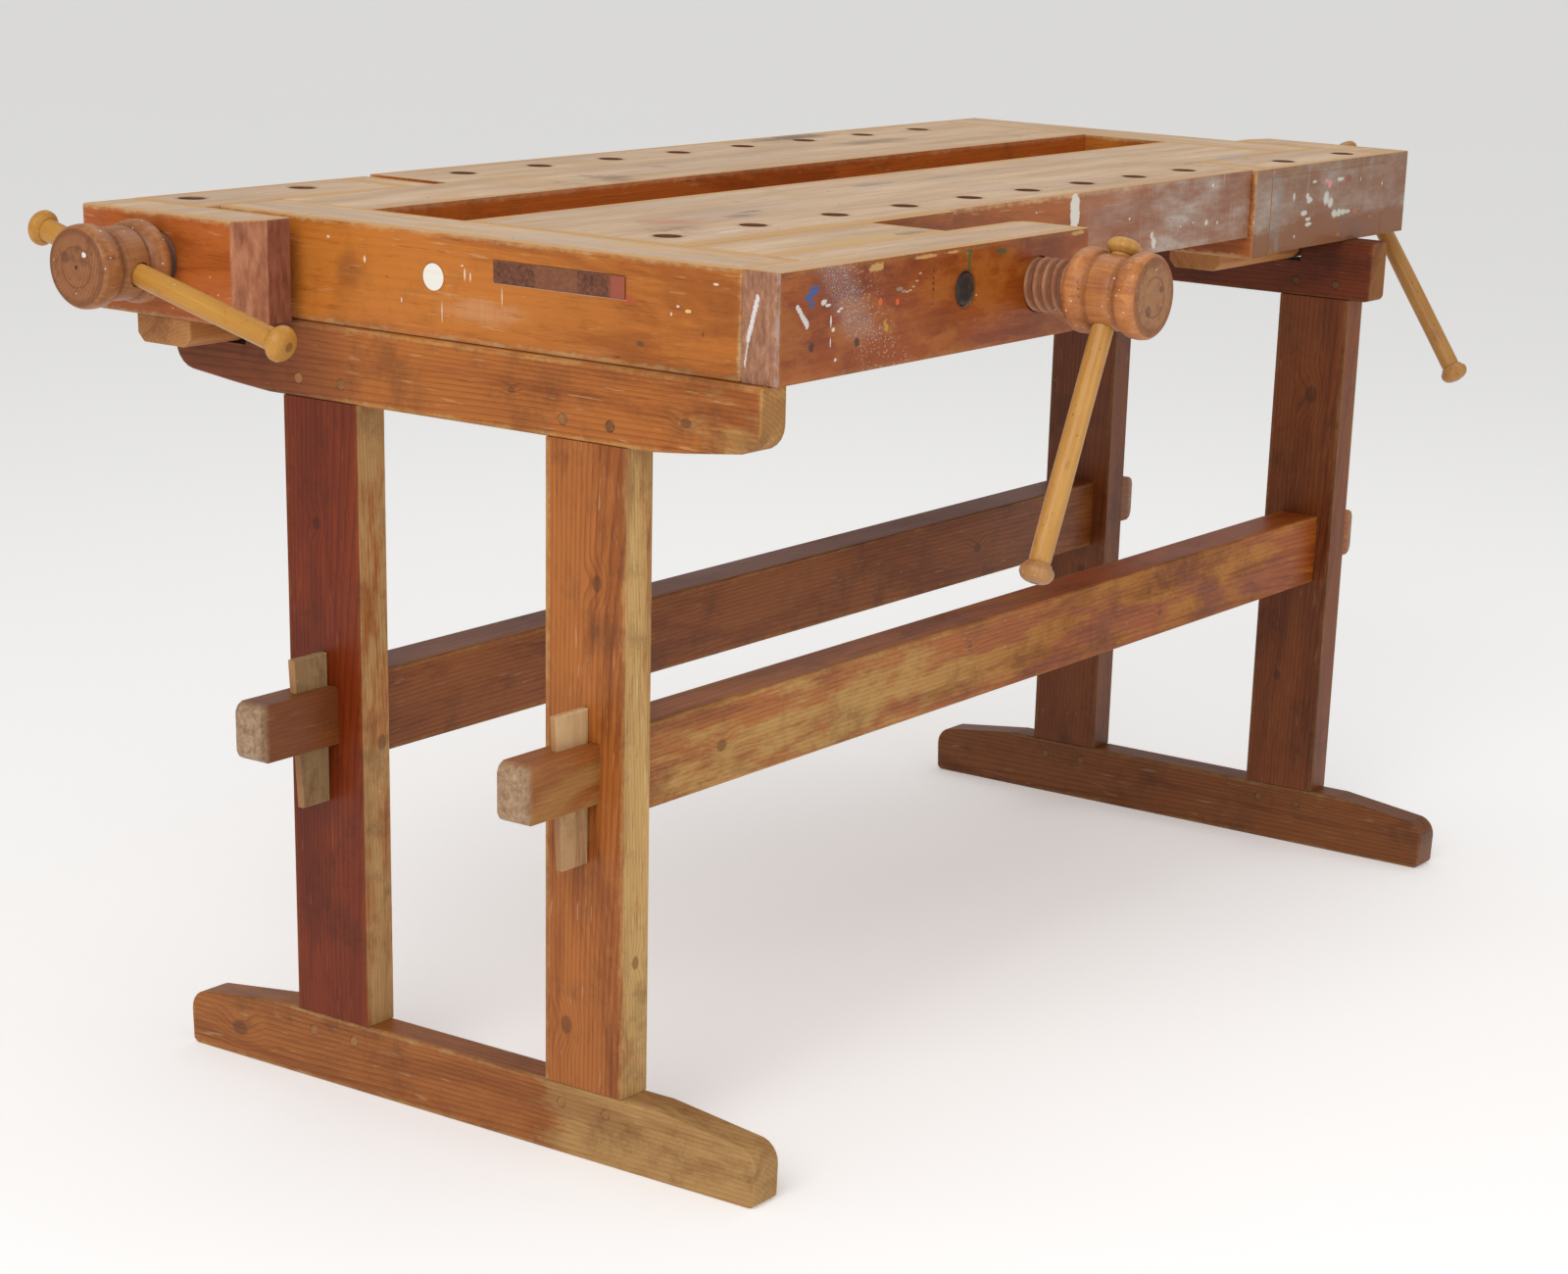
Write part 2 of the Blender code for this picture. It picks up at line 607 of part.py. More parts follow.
def tail_frame(side):
    """Turns the vise's own u and v into bench x and y."""
    if side == "left":
        return lambda u, v: (-u, v)
    return lambda u, v: (u, V_SUM - v)


def tail_box(name, side, us, vs, zs, finish, bevel=0.0):
    place = tail_frame(side)
    x0, y0 = place(us[0], vs[0])
    x1, y1 = place(us[1], vs[1])
    return block(name, (x0, x1), (y0, y1), zs, finish, bevel)


def tail_prism(name, side, outline, low, high, finish, axis):
    """Outline of (v, z) drawn along u, or of (u, v) drawn along z."""
    place = tail_frame(side)
    if axis == "u":
        turned_outline = [(place(0.0, v)[1], z) for v, z in outline]
        x0, x1 = sorted((place(low, 0.0)[0], place(high, 0.0)[0]))
        return prism(name, turned_outline, 0, x0, x1, finish)
    return prism(name, [place(u, v) for u, v in outline], 2, low, high, finish)


def make_end_block(side):
    u0, u1 = BLOCK_U
    v0, v1 = BLOCK_V
    outline = [(u0, v0), (u1 - 0.034, v0), (u1, v0 + 0.011), (u1, v1 - 0.003), (u1 - 0.003, v1), (u0, v1)]
    made = tail_prism(side + "_end_block", side, outline, CARRIAGE_Z, TOP_Z, BEECH, "z")
    x, y = tail_frame(side)(u0, TAIL_AXIS_V[side])
    out = -1 if side == "left" else 1
    cut(made, [rod((x, y, TAIL_AXIS_Z[side]), (out, 0, 0), -0.01, 0.1, BORE_R, 40)])
    flat_where_flat(made)
    return made


def make_tail_boards(side):
    inner = BLOCK_U[0] - GAP
    outer_v = BLOCK_V[1]
    cover = tail_box(side + "_vise_cover", side, (JAW_U[1] + GAP, inner), (SLOT_V, outer_v),
                     (TOP_Z - COVER_T, TOP_Z), BEECH)
    board = tail_box(side + "_dog_board", side, (JAW_U[1] + GAP, inner), (CAVITY_V[1], outer_v),
                     (CARRIAGE_Z, TOP_Z - COVER_T - GAP), BEECH)
    for target in (cover, board):
        tools = []
        for u in BOARD_DOG_U:
            x, y = tail_frame(side)(u, BOARD_DOG_V)
            tools += [rod((x, y, 0.0), (0, 0, 1), PLANK_Z - 0.04, TOP_Z + 0.01, DOG_R, 32)]
        cut(target, tools)
        flat_where_flat(target)


def make_jaw(side):
    low = TOP_Z - COVER_T - 0.0007
    outline = [(CAVITY_V[0], JAW_Z), (BLOCK_V[1], JAW_Z), (BLOCK_V[1], TOP_Z), (SLOT_V, TOP_Z), (SLOT_V, low),
               (CAVITY_V[0], low)]
    return tail_prism(side + "_tail_jaw", side, outline, JAW_U[0], JAW_U[1], BEECH, "u")


def make_guide_rail(side):
    v0, v1 = CAVITY_V[0] + 0.0002, CAVITY_V[1] - 0.0002
    z0, z1 = RAIL_Z
    c = 0.008
    outline = [(v0, z1), (v0, z0 + c), (v0 + c, z0), (v1 - c, z0), (v1, z0 + c), (v1, z1)]
    return tail_prism(side + "_guide_rail", side, outline, RAIL_U[0] + GAP, RAIL_U[1], PINE, "u")


def make_tail_vise(side, bar, short, long):
    make_end_block(side)
    make_tail_boards(side)
    make_jaw(side)
    make_guide_rail(side)
    x, y = tail_frame(side)(BLOCK_U[1], TAIL_AXIS_V[side])
    outward = (-1.0, 0.0, 0.0) if side == "left" else (1.0, 0.0, 0.0)
    origin = (x, y, TAIL_AXIS_Z[side])
    hub_at = TAIL_EXPOSED[side]
    size = TAIL_HUB[side]
    name = side + "_tail_screw"
    screw = make_screw(name, origin, outward, hub_at, TAIL_TIP_U - BLOCK_U[1], 0.0, size)
    center = bore_hub(screw, origin, outward, hub_at + HANDLE_S * size[0], bar)
    make_handle(side + "_tail_handle", center, bar, short, long)


FRONT_BAR = (0.4110, 0.0, 0.9116)
LEFT_BAR = (0.0, 0.9701, 0.2425)
RIGHT_BAR = (0.0, 0.5640, 0.8258)

clear_scene()
PINE = material("pine", (0.42, 0.20, 0.08), 0.6)
PINE_WEDGE = material("pale_pine", (0.55, 0.36, 0.17), 0.65)
BEECH = material("varnished_beech", (0.46, 0.19, 0.06), 0.5)
TURNED = material("turned_beech", (0.33, 0.15, 0.07), 0.4)
HANDLE = material("handle_beech", (0.56, 0.32, 0.11), 0.4)
STEEL = material("dark_steel", (0.05, 0.045, 0.04), 0.5, 1.0)
TOOL = material("tool", (0.5, 0.5, 0.5), 0.5)

for trestle, span in (("left", LEFT_TRESTLE_X), ("right", RIGHT_TRESTLE_X)):
    make_foot(trestle, span)
    make_beam(trestle, span)
    make_pegs(trestle, span)
    for line in ("near", "far"):
        make_post(trestle, line, span)
        make_wedge(trestle, line)
for line in ("near", "far"):
    make_stretcher(line)

make_near_plank()
make_far_plank()
make_left_end_board()
make_right_end_board()
make_tray_board()
make_arm()
make_spacer()
make_bolt()
make_front_vise()
make_tail_vise("left", LEFT_BAR, 0.0930, 0.2060)
make_tail_vise("right", RIGHT_BAR, 0.0374, 0.2672)
bpy.data.materials.remove(TOOL)
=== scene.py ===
import math

import bpy
from mathutils import Matrix, Vector


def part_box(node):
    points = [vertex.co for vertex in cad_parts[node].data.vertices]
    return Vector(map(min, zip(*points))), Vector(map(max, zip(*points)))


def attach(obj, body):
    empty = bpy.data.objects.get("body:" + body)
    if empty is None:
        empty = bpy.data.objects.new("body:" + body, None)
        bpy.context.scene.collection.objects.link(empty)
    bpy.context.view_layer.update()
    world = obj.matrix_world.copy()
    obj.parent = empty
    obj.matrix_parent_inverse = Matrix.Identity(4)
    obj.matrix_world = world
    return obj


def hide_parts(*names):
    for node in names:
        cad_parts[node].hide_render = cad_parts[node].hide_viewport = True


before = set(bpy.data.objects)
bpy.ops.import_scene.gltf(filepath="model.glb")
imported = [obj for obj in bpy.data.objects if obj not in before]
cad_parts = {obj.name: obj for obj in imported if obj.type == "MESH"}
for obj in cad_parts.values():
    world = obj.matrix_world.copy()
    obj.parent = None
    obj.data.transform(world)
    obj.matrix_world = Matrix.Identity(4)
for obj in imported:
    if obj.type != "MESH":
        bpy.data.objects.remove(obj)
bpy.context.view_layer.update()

SCENE = bpy.context.scene


# ---------------------------------------------------------------- shader helper

class Shade:
    """Writes the nodes of one material."""

    def __init__(self, name):
        self.mat = bpy.data.materials.new(name)
        self.mat.use_nodes = True
        self.tree = self.mat.node_tree
        self.tree.nodes.clear()
        self.shader = self.new("ShaderNodeBsdfPrincipled")
        out = self.new("ShaderNodeOutputMaterial")
        self.tree.links.new(self.shader.outputs[0], out.inputs[0])
        coord = self.new("ShaderNodeTexCoord")
        self.place = coord.outputs["Object"]
        self.axis = self.split(self.place)
        self.facing = self.split(coord.outputs["Normal"])

    def new(self, kind):
        return self.tree.nodes.new(kind)

    def put(self, socket, value):
        if isinstance(value, bpy.types.NodeSocket):
            self.tree.links.new(value, socket)
        elif isinstance(value, (tuple, list)) and len(value) == 3 and socket.type == "RGBA":
            socket.default_value = (*value, 1.0)
        else:
            socket.default_value = value

    def split(self, vector):
        node = self.new("ShaderNodeSeparateXYZ")
        self.put(node.inputs[0], vector)
        return list(node.outputs)

    def join(self, x, y, z):
        node = self.new("ShaderNodeCombineXYZ")
        for socket, value in zip(node.inputs, (x, y, z)):
            self.put(socket, value)
        return node.outputs[0]

    def math(self, kind, a, b=0.0, clamp=False):
        node = self.new("ShaderNodeMath")
        node.operation = kind
        node.use_clamp = clamp
        self.put(node.inputs[0], a)
        self.put(node.inputs[1], b)
        return node.outputs[0]

    def add(self, a, b):
        return self.math("ADD", a, b)

    def sub(self, a, b):
        return self.math("SUBTRACT", a, b)

    def mul(self, first, *others):
        for other in others:
            first = self.math("MULTIPLY", first, other)
        return first

    def most(self, a, b):
        return self.math("MAXIMUM", a, b)

    def least(self, a, b):
        return self.math("MINIMUM", a, b)

    def gap(self, a, b):
        """How far a and b are apart."""
        return self.math("ABSOLUTE", self.sub(a, b))

    def invert(self, a):
        return self.math("SUBTRACT", 1.0, a, True)

    def step(self, value, low, high, a=0.0, b=1.0):
        node = self.new("ShaderNodeMapRange")
        node.interpolation_type = "SMOOTHSTEP"
        self.put(node.inputs[0], value)
        for socket, number in zip(node.inputs[1:5], (low, high, a, b)):
            self.put(socket, number)
        return node.outputs[0]

    def blend(self, factor, a, b, kind="MIX"):
        node = self.new("ShaderNodeMix")
        node.data_type = "RGBA"
        node.blend_type = kind
        self.put(node.inputs[0], factor)
        self.put(node.inputs[6], a)
        self.put(node.inputs[7], b)
        return node.outputs[2]

    def lay(self, color, mask, share, tint):
        """Lays a share of tint over color where mask is 1."""
        return self.blend(self.mul(mask, share), color, tint)

    def tinted(self, color, tint):
        return self.blend(1.0, color, tint, "MULTIPLY")

    def turned(self, axis):
        """1 where the surface looks to the left (axis 0) or to the near side (axis 1)."""
        return self.step(self.facing[axis], -0.5, -0.85)

    def ramp(self, factor, stops):
        node = self.new("ShaderNodeValToRGB")
        self.put(node.inputs[0], factor)
        points = node.color_ramp.elements
        while len(points) < len(stops):
            points.new(0.5)
        for point, (at, color) in zip(points, stops):
            point.position = at
            point.color = (*color, 1.0) if isinstance(color, tuple) else (color, color, color, 1.0)
        return node.outputs[0]

    def stretched(self, scales, shift, vector=None):
        node = self.new("ShaderNodeVectorMath")
        node.operation = "MULTIPLY_ADD"
        self.put(node.inputs[0], self.place if vector is None else vector)
        node.inputs[1].default_value = scales
        node.inputs[2].default_value = shift
        return node.outputs[0]

    def noise(self, scales, seed=0.0, detail=3.0, rough=0.55, twist=0.0, vector=None):
        node = self.new("ShaderNodeTexNoise")
        if isinstance(scales, (int, float)):
            scales = (scales, scales, scales)
        self.put(node.inputs["Vector"], self.stretched(scales, (seed, seed * 1.7, seed * 0.6), vector))
        node.inputs["Scale"].default_value = 1.0
        node.inputs["Detail"].default_value = detail
        node.inputs["Roughness"].default_value = rough
        node.inputs["Distortion"].default_value = twist
        return node.outputs[0]

    def spots(self, scale, seed, size, keep):
        """Scattered dots: one in each cell, of which a share is kept."""
        node = self.new("ShaderNodeTexVoronoi")
        if isinstance(scale, (int, float)):
            scale = (scale, scale, scale)
        self.put(node.inputs["Vector"], self.stretched(scale, (seed, seed * 1.3, seed * 2.1)))
        node.inputs["Scale"].default_value = 1.0
        wobble = self.mul(self.sub(self.noise(tuple(s * 3.0 for s in scale), seed), 0.5), size)
        near = self.step(self.add(node.outputs["Distance"], wobble), size, size * 0.6)
        chosen = self.step(self.split(node.outputs["Color"])[0], keep, keep - 0.01)
        return self.mul(near, chosen)

    def edge(self, low, high):
        """Distance from the nearest edge of a box, for a point on its surface."""
        gaps = []
        for i in range(3):
            gaps.append(self.least(self.gap(self.axis[i], low[i]), self.gap(self.axis[i], high[i])))
        first, second, third = gaps
        return self.most(self.least(first, second), self.least(self.most(first, second), third))

    def from_point(self, point, sizes):
        """Distance from a point, measured in the given sizes."""
        total = None
        for i in range(3):
            if sizes[i] is None:
                continue
            part = self.mul(self.sub(self.axis[i], point[i]), 1.0 / sizes[i])
            part = self.mul(part, part)
            total = part if total is None else self.add(total, part)
        return self.math("SQRT", total)

    def blob(self, point, sizes, seed=0.0, ragged=0.5, scale=90.0, soft=0.25):
        far = self.from_point(point, sizes)
        far = self.add(far, self.mul(self.sub(self.noise(scale, seed, 4.0, 0.65), 0.5), ragged * 2.0))
        return self.step(far, 1.0, 1.0 - soft)

    def paint(self, color, mask, tint, blobs, seed=0.0, ragged=0.55, scale=150.0, soft=0.25):
        """Blobs of one colour, laid on where mask is 1. One noise roughens them all.
        Each is (x, y, z, width, depth, height), and None leaves a direction out."""
        wobble = self.mul(self.sub(self.noise(scale, seed, 4.0, 0.65), 0.5), ragged * 2.0)
        total = None
        for px, py, pz, w, d, h in blobs:
            far = self.from_point((px or 0.0, py or 0.0, pz or 0.0), (w, d, h))
            total = far if total is None else self.least(total, far)
        near = self.step(self.add(total, wobble), 1.0, 1.0 - soft)
        return self.blend(self.mul(mask, near), color, tint)

    def finish(self, color, rough, height=None, depth=0.0006, strength=0.5):
        self.put(self.shader.inputs["Base Color"], color)
        self.put(self.shader.inputs["Roughness"], rough)
        self.shader.inputs["Specular IOR Level"].default_value = 0.28
        if height is not None:
            node = self.new("ShaderNodeBump")
            node.inputs["Strength"].default_value = strength
            node.inputs["Distance"].default_value = depth
            self.put(node.inputs["Height"], height)
            self.put(self.shader.inputs["Normal"], node.outputs[0])
        return self.mat


# ---------------------------------------------------------------- wood

PINE_COAT = ((0.39, 0.125, 0.024), (0.185, 0.042, 0.009))
PINE_BARE = ((0.47, 0.26, 0.098), (0.33, 0.155, 0.052))
BEECH_COAT = ((0.52, 0.172, 0.026), (0.37, 0.098, 0.012))
BEECH_BARE = ((0.62, 0.4, 0.2), (0.46, 0.27, 0.13))


def along(grain, across, lengthwise):
    """Noise scales for a figure that is drawn out along the grain."""
    scales = [across, across, across]
    scales[grain] = lengthwise
    return tuple(scales)


def on_near(rows):
    """Blobs on a near face, from rows of (x, z, width, height)."""
    return [(x, None, z, w, None, h) for x, z, w, h in rows]


def on_left(rows):
    """Blobs on a left face, from rows of (y, z, width, height)."""
    return [(None, y, z, None, w, h) for y, z, w, h in rows]


def painted(g, color, mask, table):
    """Lays every row of a table of paint marks on a near face."""
    for tint, share, seed, ragged, scale, soft, rows in table:
        color = g.paint(color, g.mul(mask, share), tint, on_near(rows), seed, ragged, scale, soft)
    return color


def figure(g, grain, spacing, pith, seed, wobble, knots=()):
    """Growth rings round a pith line, with fibres along the grain."""
    others = [i for i in range(3) if i != grain]
    bend = g.mul(g.sub(g.noise(along(grain, 6.0, 1.3), seed, 2.0), 0.5), wobble)
    parts = []
    for k, i in enumerate(others):
        lean = g.mul(g.axis[grain], (0.045, -0.03)[k])
        part = g.add(g.sub(g.axis[i], pith[k]), lean)
        parts.append(g.mul(part, part))
    radius = g.math("SQRT", g.add(parts[0], parts[1]))
    mask = None
    for axis, a, b, size in knots:
        spot = [0.0, 0.0, 0.0]
        sizes = [size, size, size]
        rest = [i for i in range(3) if i != axis]
        spot[rest[0]], spot[rest[1]] = a, b
        sizes[axis] = None
        if grain in rest:
            sizes[grain] = size * 1.35
        far = g.from_point(spot, sizes)
        push = g.step(far, 3.6, 0.4, 0.0, size * 1.1)
        radius = g.add(radius, push)
        core = g.step(far, 1.15, 0.75)
        mask = core if mask is None else g.most(mask, core)
    phase = g.math("FRACT", g.mul(g.add(radius, bend), 1.0 / spacing))
    rings = g.ramp(phase, [(0.0, 0.05), (0.45, 0.2), (0.76, 0.6), (0.88, 1.0), (0.96, 0.45), (1.0, 0.05)])
    fibre = g.noise(along(grain, 420.0, 9.0), seed + 3.0, 2.0, 0.6)
    return rings, fibre, mask


def board(name, node, grain, coat, bare, seed, spacing=0.0045, contrast=0.55, wobble=0.018, worn=0.3,
        edge=0.006, near_bare=0.0, left_bare=0.0, knots=(), box=None, dirt=0.35, spots=0.25, gloss=0.36,
        tint=None, extra=None, near_tint=None, wear_along=None, shades=(), stain=0.55):
    """A board: rings, fibres, varnish that has worn off along edges and in patches, dirt and specks."""
    g = Shade(name)
    low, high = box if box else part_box(node)
    g.low, g.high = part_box(node)
    others = [i for i in range(3) if i != grain]
    pith = [low[others[0]] - 0.05, low[others[1]] - 0.035]
    rings, fibre, knot = figure(g, grain, spacing, pith, seed, wobble, knots)
    look = g.math("MULTIPLY_ADD", rings, contrast)
    look.node.inputs[2].default_value = 0.0
    look = g.add(look, g.mul(g.sub(fibre, 0.5), 0.55))
    cloud = g.noise(along(grain, 9.0, 3.0), seed + 11.0, 3.0, 0.6)
    look = g.math("ADD", look, g.mul(g.sub(cloud, 0.5), 1.1), True)
    coated = g.blend(look, coat[0], coat[1])
    raw = g.blend(look, bare[0], bare[1])
    wear = g.noise(along(grain, 26.0, 6.0), seed + 21.0, 5.0, 0.68)
    level = g.add(wear, worn - 0.5)
    if near_bare:
        level = g.add(level, g.mul(g.step(g.facing[1], -0.5, -0.9), near_bare))
    if left_bare:
        level = g.add(level, g.mul(g.step(g.facing[0], -0.5, -0.9), left_bare))
    if wear_along:
        axis, first, last, amount = wear_along
        level = g.add(level, g.mul(g.step(g.axis[axis], first, last), amount))
    away = g.edge(low, high)
    ragged = g.mul(g.sub(g.noise(120.0, seed + 5.0, 3.0), 0.35), edge * 1.6)
    rim = g.step(g.sub(away, ragged), edge, edge * 0.15)
    rim = g.mul(rim, g.step(g.noise(34.0, seed + 6.0, 4.0, 0.7), 0.36, 0.62, 0.25, 0.95))
    bare_mask = g.math("MAXIMUM", g.step(level, 0.52, 0.66), g.mul(rim, 0.9), True)
    color = g.blend(bare_mask, coated, raw)
    if knot is not None:
        color = g.lay(color, knot, 0.62, (0.11, 0.038, 0.012))
    grime = g.step(g.noise(12.0, seed + 31.0, 6.0, 0.74), 0.49, 0.7)
    color = g.lay(color, grime, dirt, (0.12, 0.042, 0.012))
    soak = g.step(g.noise(along(grain, 17.0, 2.6), seed + 35.0, 6.0, 0.74, 0.8), 0.46, 0.62)
    color = g.lay(color, soak, stain, g.tinted(color, (0.5, 0.34, 0.24)))
    pores = g.step(g.noise(along(grain, 600.0, 30.0), seed + 37.0, 2.0, 0.5), 0.6, 0.7)
    color = g.lay(color, pores, 0.4, g.tinted(color, (0.45, 0.36, 0.3)))
    marks = g.step(g.noise(along(grain, 300.0, 26.0), seed + 41.0, 2.0, 0.5), 0.66, 0.74)
    color = g.lay(color, marks, 0.3, (0.62, 0.42, 0.24))
    if spots:
        dots = g.spots(75.0, seed + 2.0, 0.11, 0.3)
        color = g.lay(color, dots, spots, (0.1, 0.045, 0.022))
        pale = g.spots(62.0, seed + 7.0, 0.075, 0.16)
        color = g.lay(color, pale, spots * 1.5, (0.7, 0.62, 0.52))
    plain = color
    if tint is not None:
        color = g.tinted(color, tint)
    if near_tint is not None:
        color = g.blend(g.step(g.facing[1], -0.45, -0.85), color, g.tinted(plain, near_tint))
    for axis, first, last, depth in shades:
        color = g.blend(g.step(g.axis[axis], first, last), color, g.tinted(color, depth))
    rough = g.add(g.mul(bare_mask, 0.26), g.add(gloss, g.mul(g.sub(cloud, 0.5), 0.2)))
    if extra is not None:
        color, rough = extra(g, color, rough, away)
    height = g.add(g.mul(fibre, 0.5), g.mul(rings, 0.25))
    height = g.add(height, g.mul(bare_mask, -0.25))
    return g.finish(color, rough, height, 0.0007, 0.45)


def dress(node, material, bevel=0.0022, segments=3):
    """Gives a CAD node its material and softly rounded edges."""
    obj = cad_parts[node]
    for entry in obj.material_slots:
        entry.link = "OBJECT"
        entry.material = material
    joined = obj.modifiers.new("joined", "WELD")
    joined.merge_threshold = 0.00002
    flat = obj.modifiers.new("flat_faces", "DECIMATE")
    flat.decimate_type = "DISSOLVE"
    flat.angle_limit = math.radians(0.4)
    if bevel:
        soft = obj.modifiers.new("soft_edges", "BEVEL")
        soft.width = bevel
        soft.segments = segments
        soft.limit_method = "ANGLE"
        soft.angle_limit = math.radians(38)
        soft.use_clamp_overlap = True
        even = obj.modifiers.new("even_light", "WEIGHTED_NORMAL")
        even.keep_sharp = True


# ---------------------------------------------------------------- trestles

def pine_boards():
    """The trestles: reddish varnish, worn pale where feet and hands rub."""
    # node: grain, seed, worn, near face, left face, tint, knots, what else; the right trestle's tints are
    # darker varnish and painted shade under the top
    looks = {
        "left_foot": (1, 3.1, 0.37, 0.04, 0.0, (0.92, 0.95, 0.9), ((0, 0.33, 0.03, 0.008),),
            dict(wear_along=(1, 0.02, -0.16, 0.44), stain=0.5)),
        # right foot: darker varnish and painted shade under the top
        "right_foot": (1, 9.4, 0.34, 0.0, 0.0, (0.54, 0.54, 0.56), (), {}),
        "left_beam": (1, 5.7, 0.34, 0.36, 0.0, (1.04, 1.0, 0.82),
            ((0, -0.222, 0.706, 0.0045), (0, -0.028, 0.712, 0.003)),
            # darker towards the far end: painted shade behind the guide rail and end block
            dict(shades=((1, 0.12, 0.25, (0.52, 0.44, 0.6)),), stain=0.5,
                wear_along=(1, -0.14, -0.27, 0.22))),
        # right beam: darker varnish and painted shade under the top, on its near face too
        "right_beam": (1, 7.2, 0.2, 0.45, -0.1, (0.38, 0.22, 0.14), (), dict(near_tint=(0.6, 0.42, 0.22))),
        "left_post_near": (2, 2.6, 0.4, 0.3, 0.0, (1.04, 1.04, 0.98),
            ((0, -0.126, 0.552, 0.006), (0, -0.092, 0.13, 0.007), (1, -0.713, 0.2, 0.005)),
            dict(stain=0.62, near_tint=(1.22, 1.38, 1.35))),
        "left_post_far": (2, 4.9, 0.24, 0.4, -0.1, (0.5, 0.21, 0.05),
            ((1, -0.705, 0.352, 0.006), (0, 0.21, 0.56, 0.005)),
            dict(near_tint=(1.05, 1.12, 1.15), stain=0.5)),
        # right posts: darker varnish and painted shade under the top, on their near faces too
        "right_post_near": (2, 6.3, 0.26, 0.1, -0.06, (0.46, 0.38, 0.34),
            ((0, -0.118, 0.56, 0.008), (0, -0.1, 0.21, 0.005)), dict(near_tint=(0.62, 0.52, 0.46))),
        "right_post_far": (2, 8.8, 0.28, 0.05, -0.06, (0.44, 0.36, 0.34), ((0, 0.19, 0.3, 0.006),),
            dict(near_tint=(0.56, 0.48, 0.44))),
        "near_stretcher": (0, 1.9, 0.49, 0.1, 0.0, (1.08, 1.12, 0.92),
            ((1, -0.56, 0.372, 0.006), (1, -0.13, 0.39, 0.004), (1, 0.27, 0.36, 0.004)),
            # darker towards the right end: painted shade under the top, as on the right trestle
            dict(wear_along=(0, 0.1, 0.45, -0.06), shades=((0, -0.35, 0.1, (0.9, 0.64, 0.42)),),
                stain=0.65)),
        "far_stretcher": (0, 3.8, 0.4, -0.02, 0.0, (0.7, 0.66, 0.58),
            ((1, -0.4, 0.36, 0.004), (1, 0.38, 0.372, 0.006)), {}),
    }
    for node, (grain, seed, worn, near, left, tint, knots, more) in looks.items():
        extra = STRETCHER_ENDS.get(node)
        made = board(node + "_pine", node, grain, PINE_COAT, PINE_BARE, seed, 0.0042, 0.62, 0.02, worn,
            edge=0.0045, near_bare=near, left_bare=left, knots=knots, dirt=0.5, spots=0.3, gloss=0.42,
            tint=tint, extra=extra, **more)
        dress(node, made, 0.0026)


def tenon_end(side_color):
    """Grey end grain on the tip of a tenon, and a darker side where it stands out of the post."""
    def add(g, color, rough, away):
        tip = g.step(g.axis[0], -0.822, -0.834)
        far_tip = g.step(g.axis[0], 0.752, 0.764)
        specks = g.noise(160.0, 4.4, 4.0, 0.7)
        grey = g.ramp(specks, [(0.3, (0.2, 0.115, 0.065)), (0.52, (0.36, 0.235, 0.14)),
                (0.74, (0.52, 0.38, 0.24))])
        color = g.lay(color, g.step(g.axis[0], -0.731, -0.733), 0.55, side_color)
        color = g.lay(color, g.most(tip, far_tip), 0.85, grey)
        return color, rough
    return add


STRETCHER_ENDS = {
    "near_stretcher": tenon_end((0.24, 0.072, 0.014)),
    "far_stretcher": tenon_end((0.16, 0.05, 0.016)),
}


def small_pine():
    """Wedges, pegs, guide rails and the tray's floor."""
    tones = {
        "left_wedge_near": (1.0, 0.98, 0.95),
        "left_wedge_far": (0.72, 0.74, 0.7),
        # the right wedges are darker: darker wood and painted shade under the top
        "right_wedge_near": (0.7, 0.68, 0.66),
        "right_wedge_far": (0.66, 0.64, 0.62),
    }

    def warm_edge(g, color, rough, away):
        left = g.turned(0)
        low = g.step(g.axis[2], 0.365, 0.325)
        color = g.lay(color, left, 0.75, (0.42, 0.2, 0.075))
        return g.lay(color, low, 0.55, g.tinted(color, (0.6, 0.5, 0.46))), rough

    for k, (node, tint) in enumerate(tones.items()):
        made = board(node + "_wood", node, 2, ((0.62, 0.42, 0.22), (0.44, 0.26, 0.12)),
            ((0.68, 0.5, 0.3), (0.48, 0.32, 0.18)), 12.0 + k, 0.003, 0.35, 0.008, 0.45, edge=0.0025,
            dirt=0.45, spots=0.4, gloss=0.6, tint=tint, extra=warm_edge)
        dress(node, made, 0.001, 2)
    for side in ("left", "right"):
        for place in ("foot", "beam"):
            # the right pegs are darker: darker wood and painted shade under the top
            tone = 0.8 if side == "left" else 0.45
            if (side, place) == ("right", "beam"):
                tone = 0.3
            peg = board(f"{side}_{place}_peg_wood", side + "_foot", 0,
                ((0.44, 0.21, 0.075), (0.26, 0.1, 0.035)), ((0.5, 0.28, 0.12), (0.32, 0.16, 0.07)), 31.0,
                0.0014, 0.4, 0.002, 0.4, edge=0.0, dirt=0.6, spots=0.0, gloss=0.55,
                tint=(tone, tone * 0.95, tone * 0.92))
            for row in ("near", "far"):
                for k in (1, 2):
                    dress(f"{side}_{place}_peg_{row}_{k}", peg, 0.0)
        rail = board(side + "_rail_wood", side + "_guide_rail", 0, ((0.5, 0.225, 0.07), (0.33, 0.12, 0.04)),
            PINE_BARE, 15.0, 0.0036, 0.4, 0.01, 0.4, edge=0.003, dirt=0.3, spots=0.2, gloss=0.55)
        dress(side + "_guide_rail", rail, 0.0015, 2)
    tray = board("tray_wood", "tray_board", 0, ((0.27, 0.085, 0.026), (0.15, 0.045, 0.018)),
        ((0.34, 0.16, 0.07), (0.2, 0.09, 0.04)), 18.0, 0.005, 0.5, 0.02, 0.4, edge=0.001, dirt=0.75,
        spots=0.6, gloss=0.55)
    dress("tray_board", tray, 0.0)


# ---------------------------------------------------------------- bench top

WHITE = (0.74, 0.71, 0.66)
TOP_LIGHT = (0.72, 0.515, 0.335)
TOP_DARK = (0.5, 0.325, 0.195)
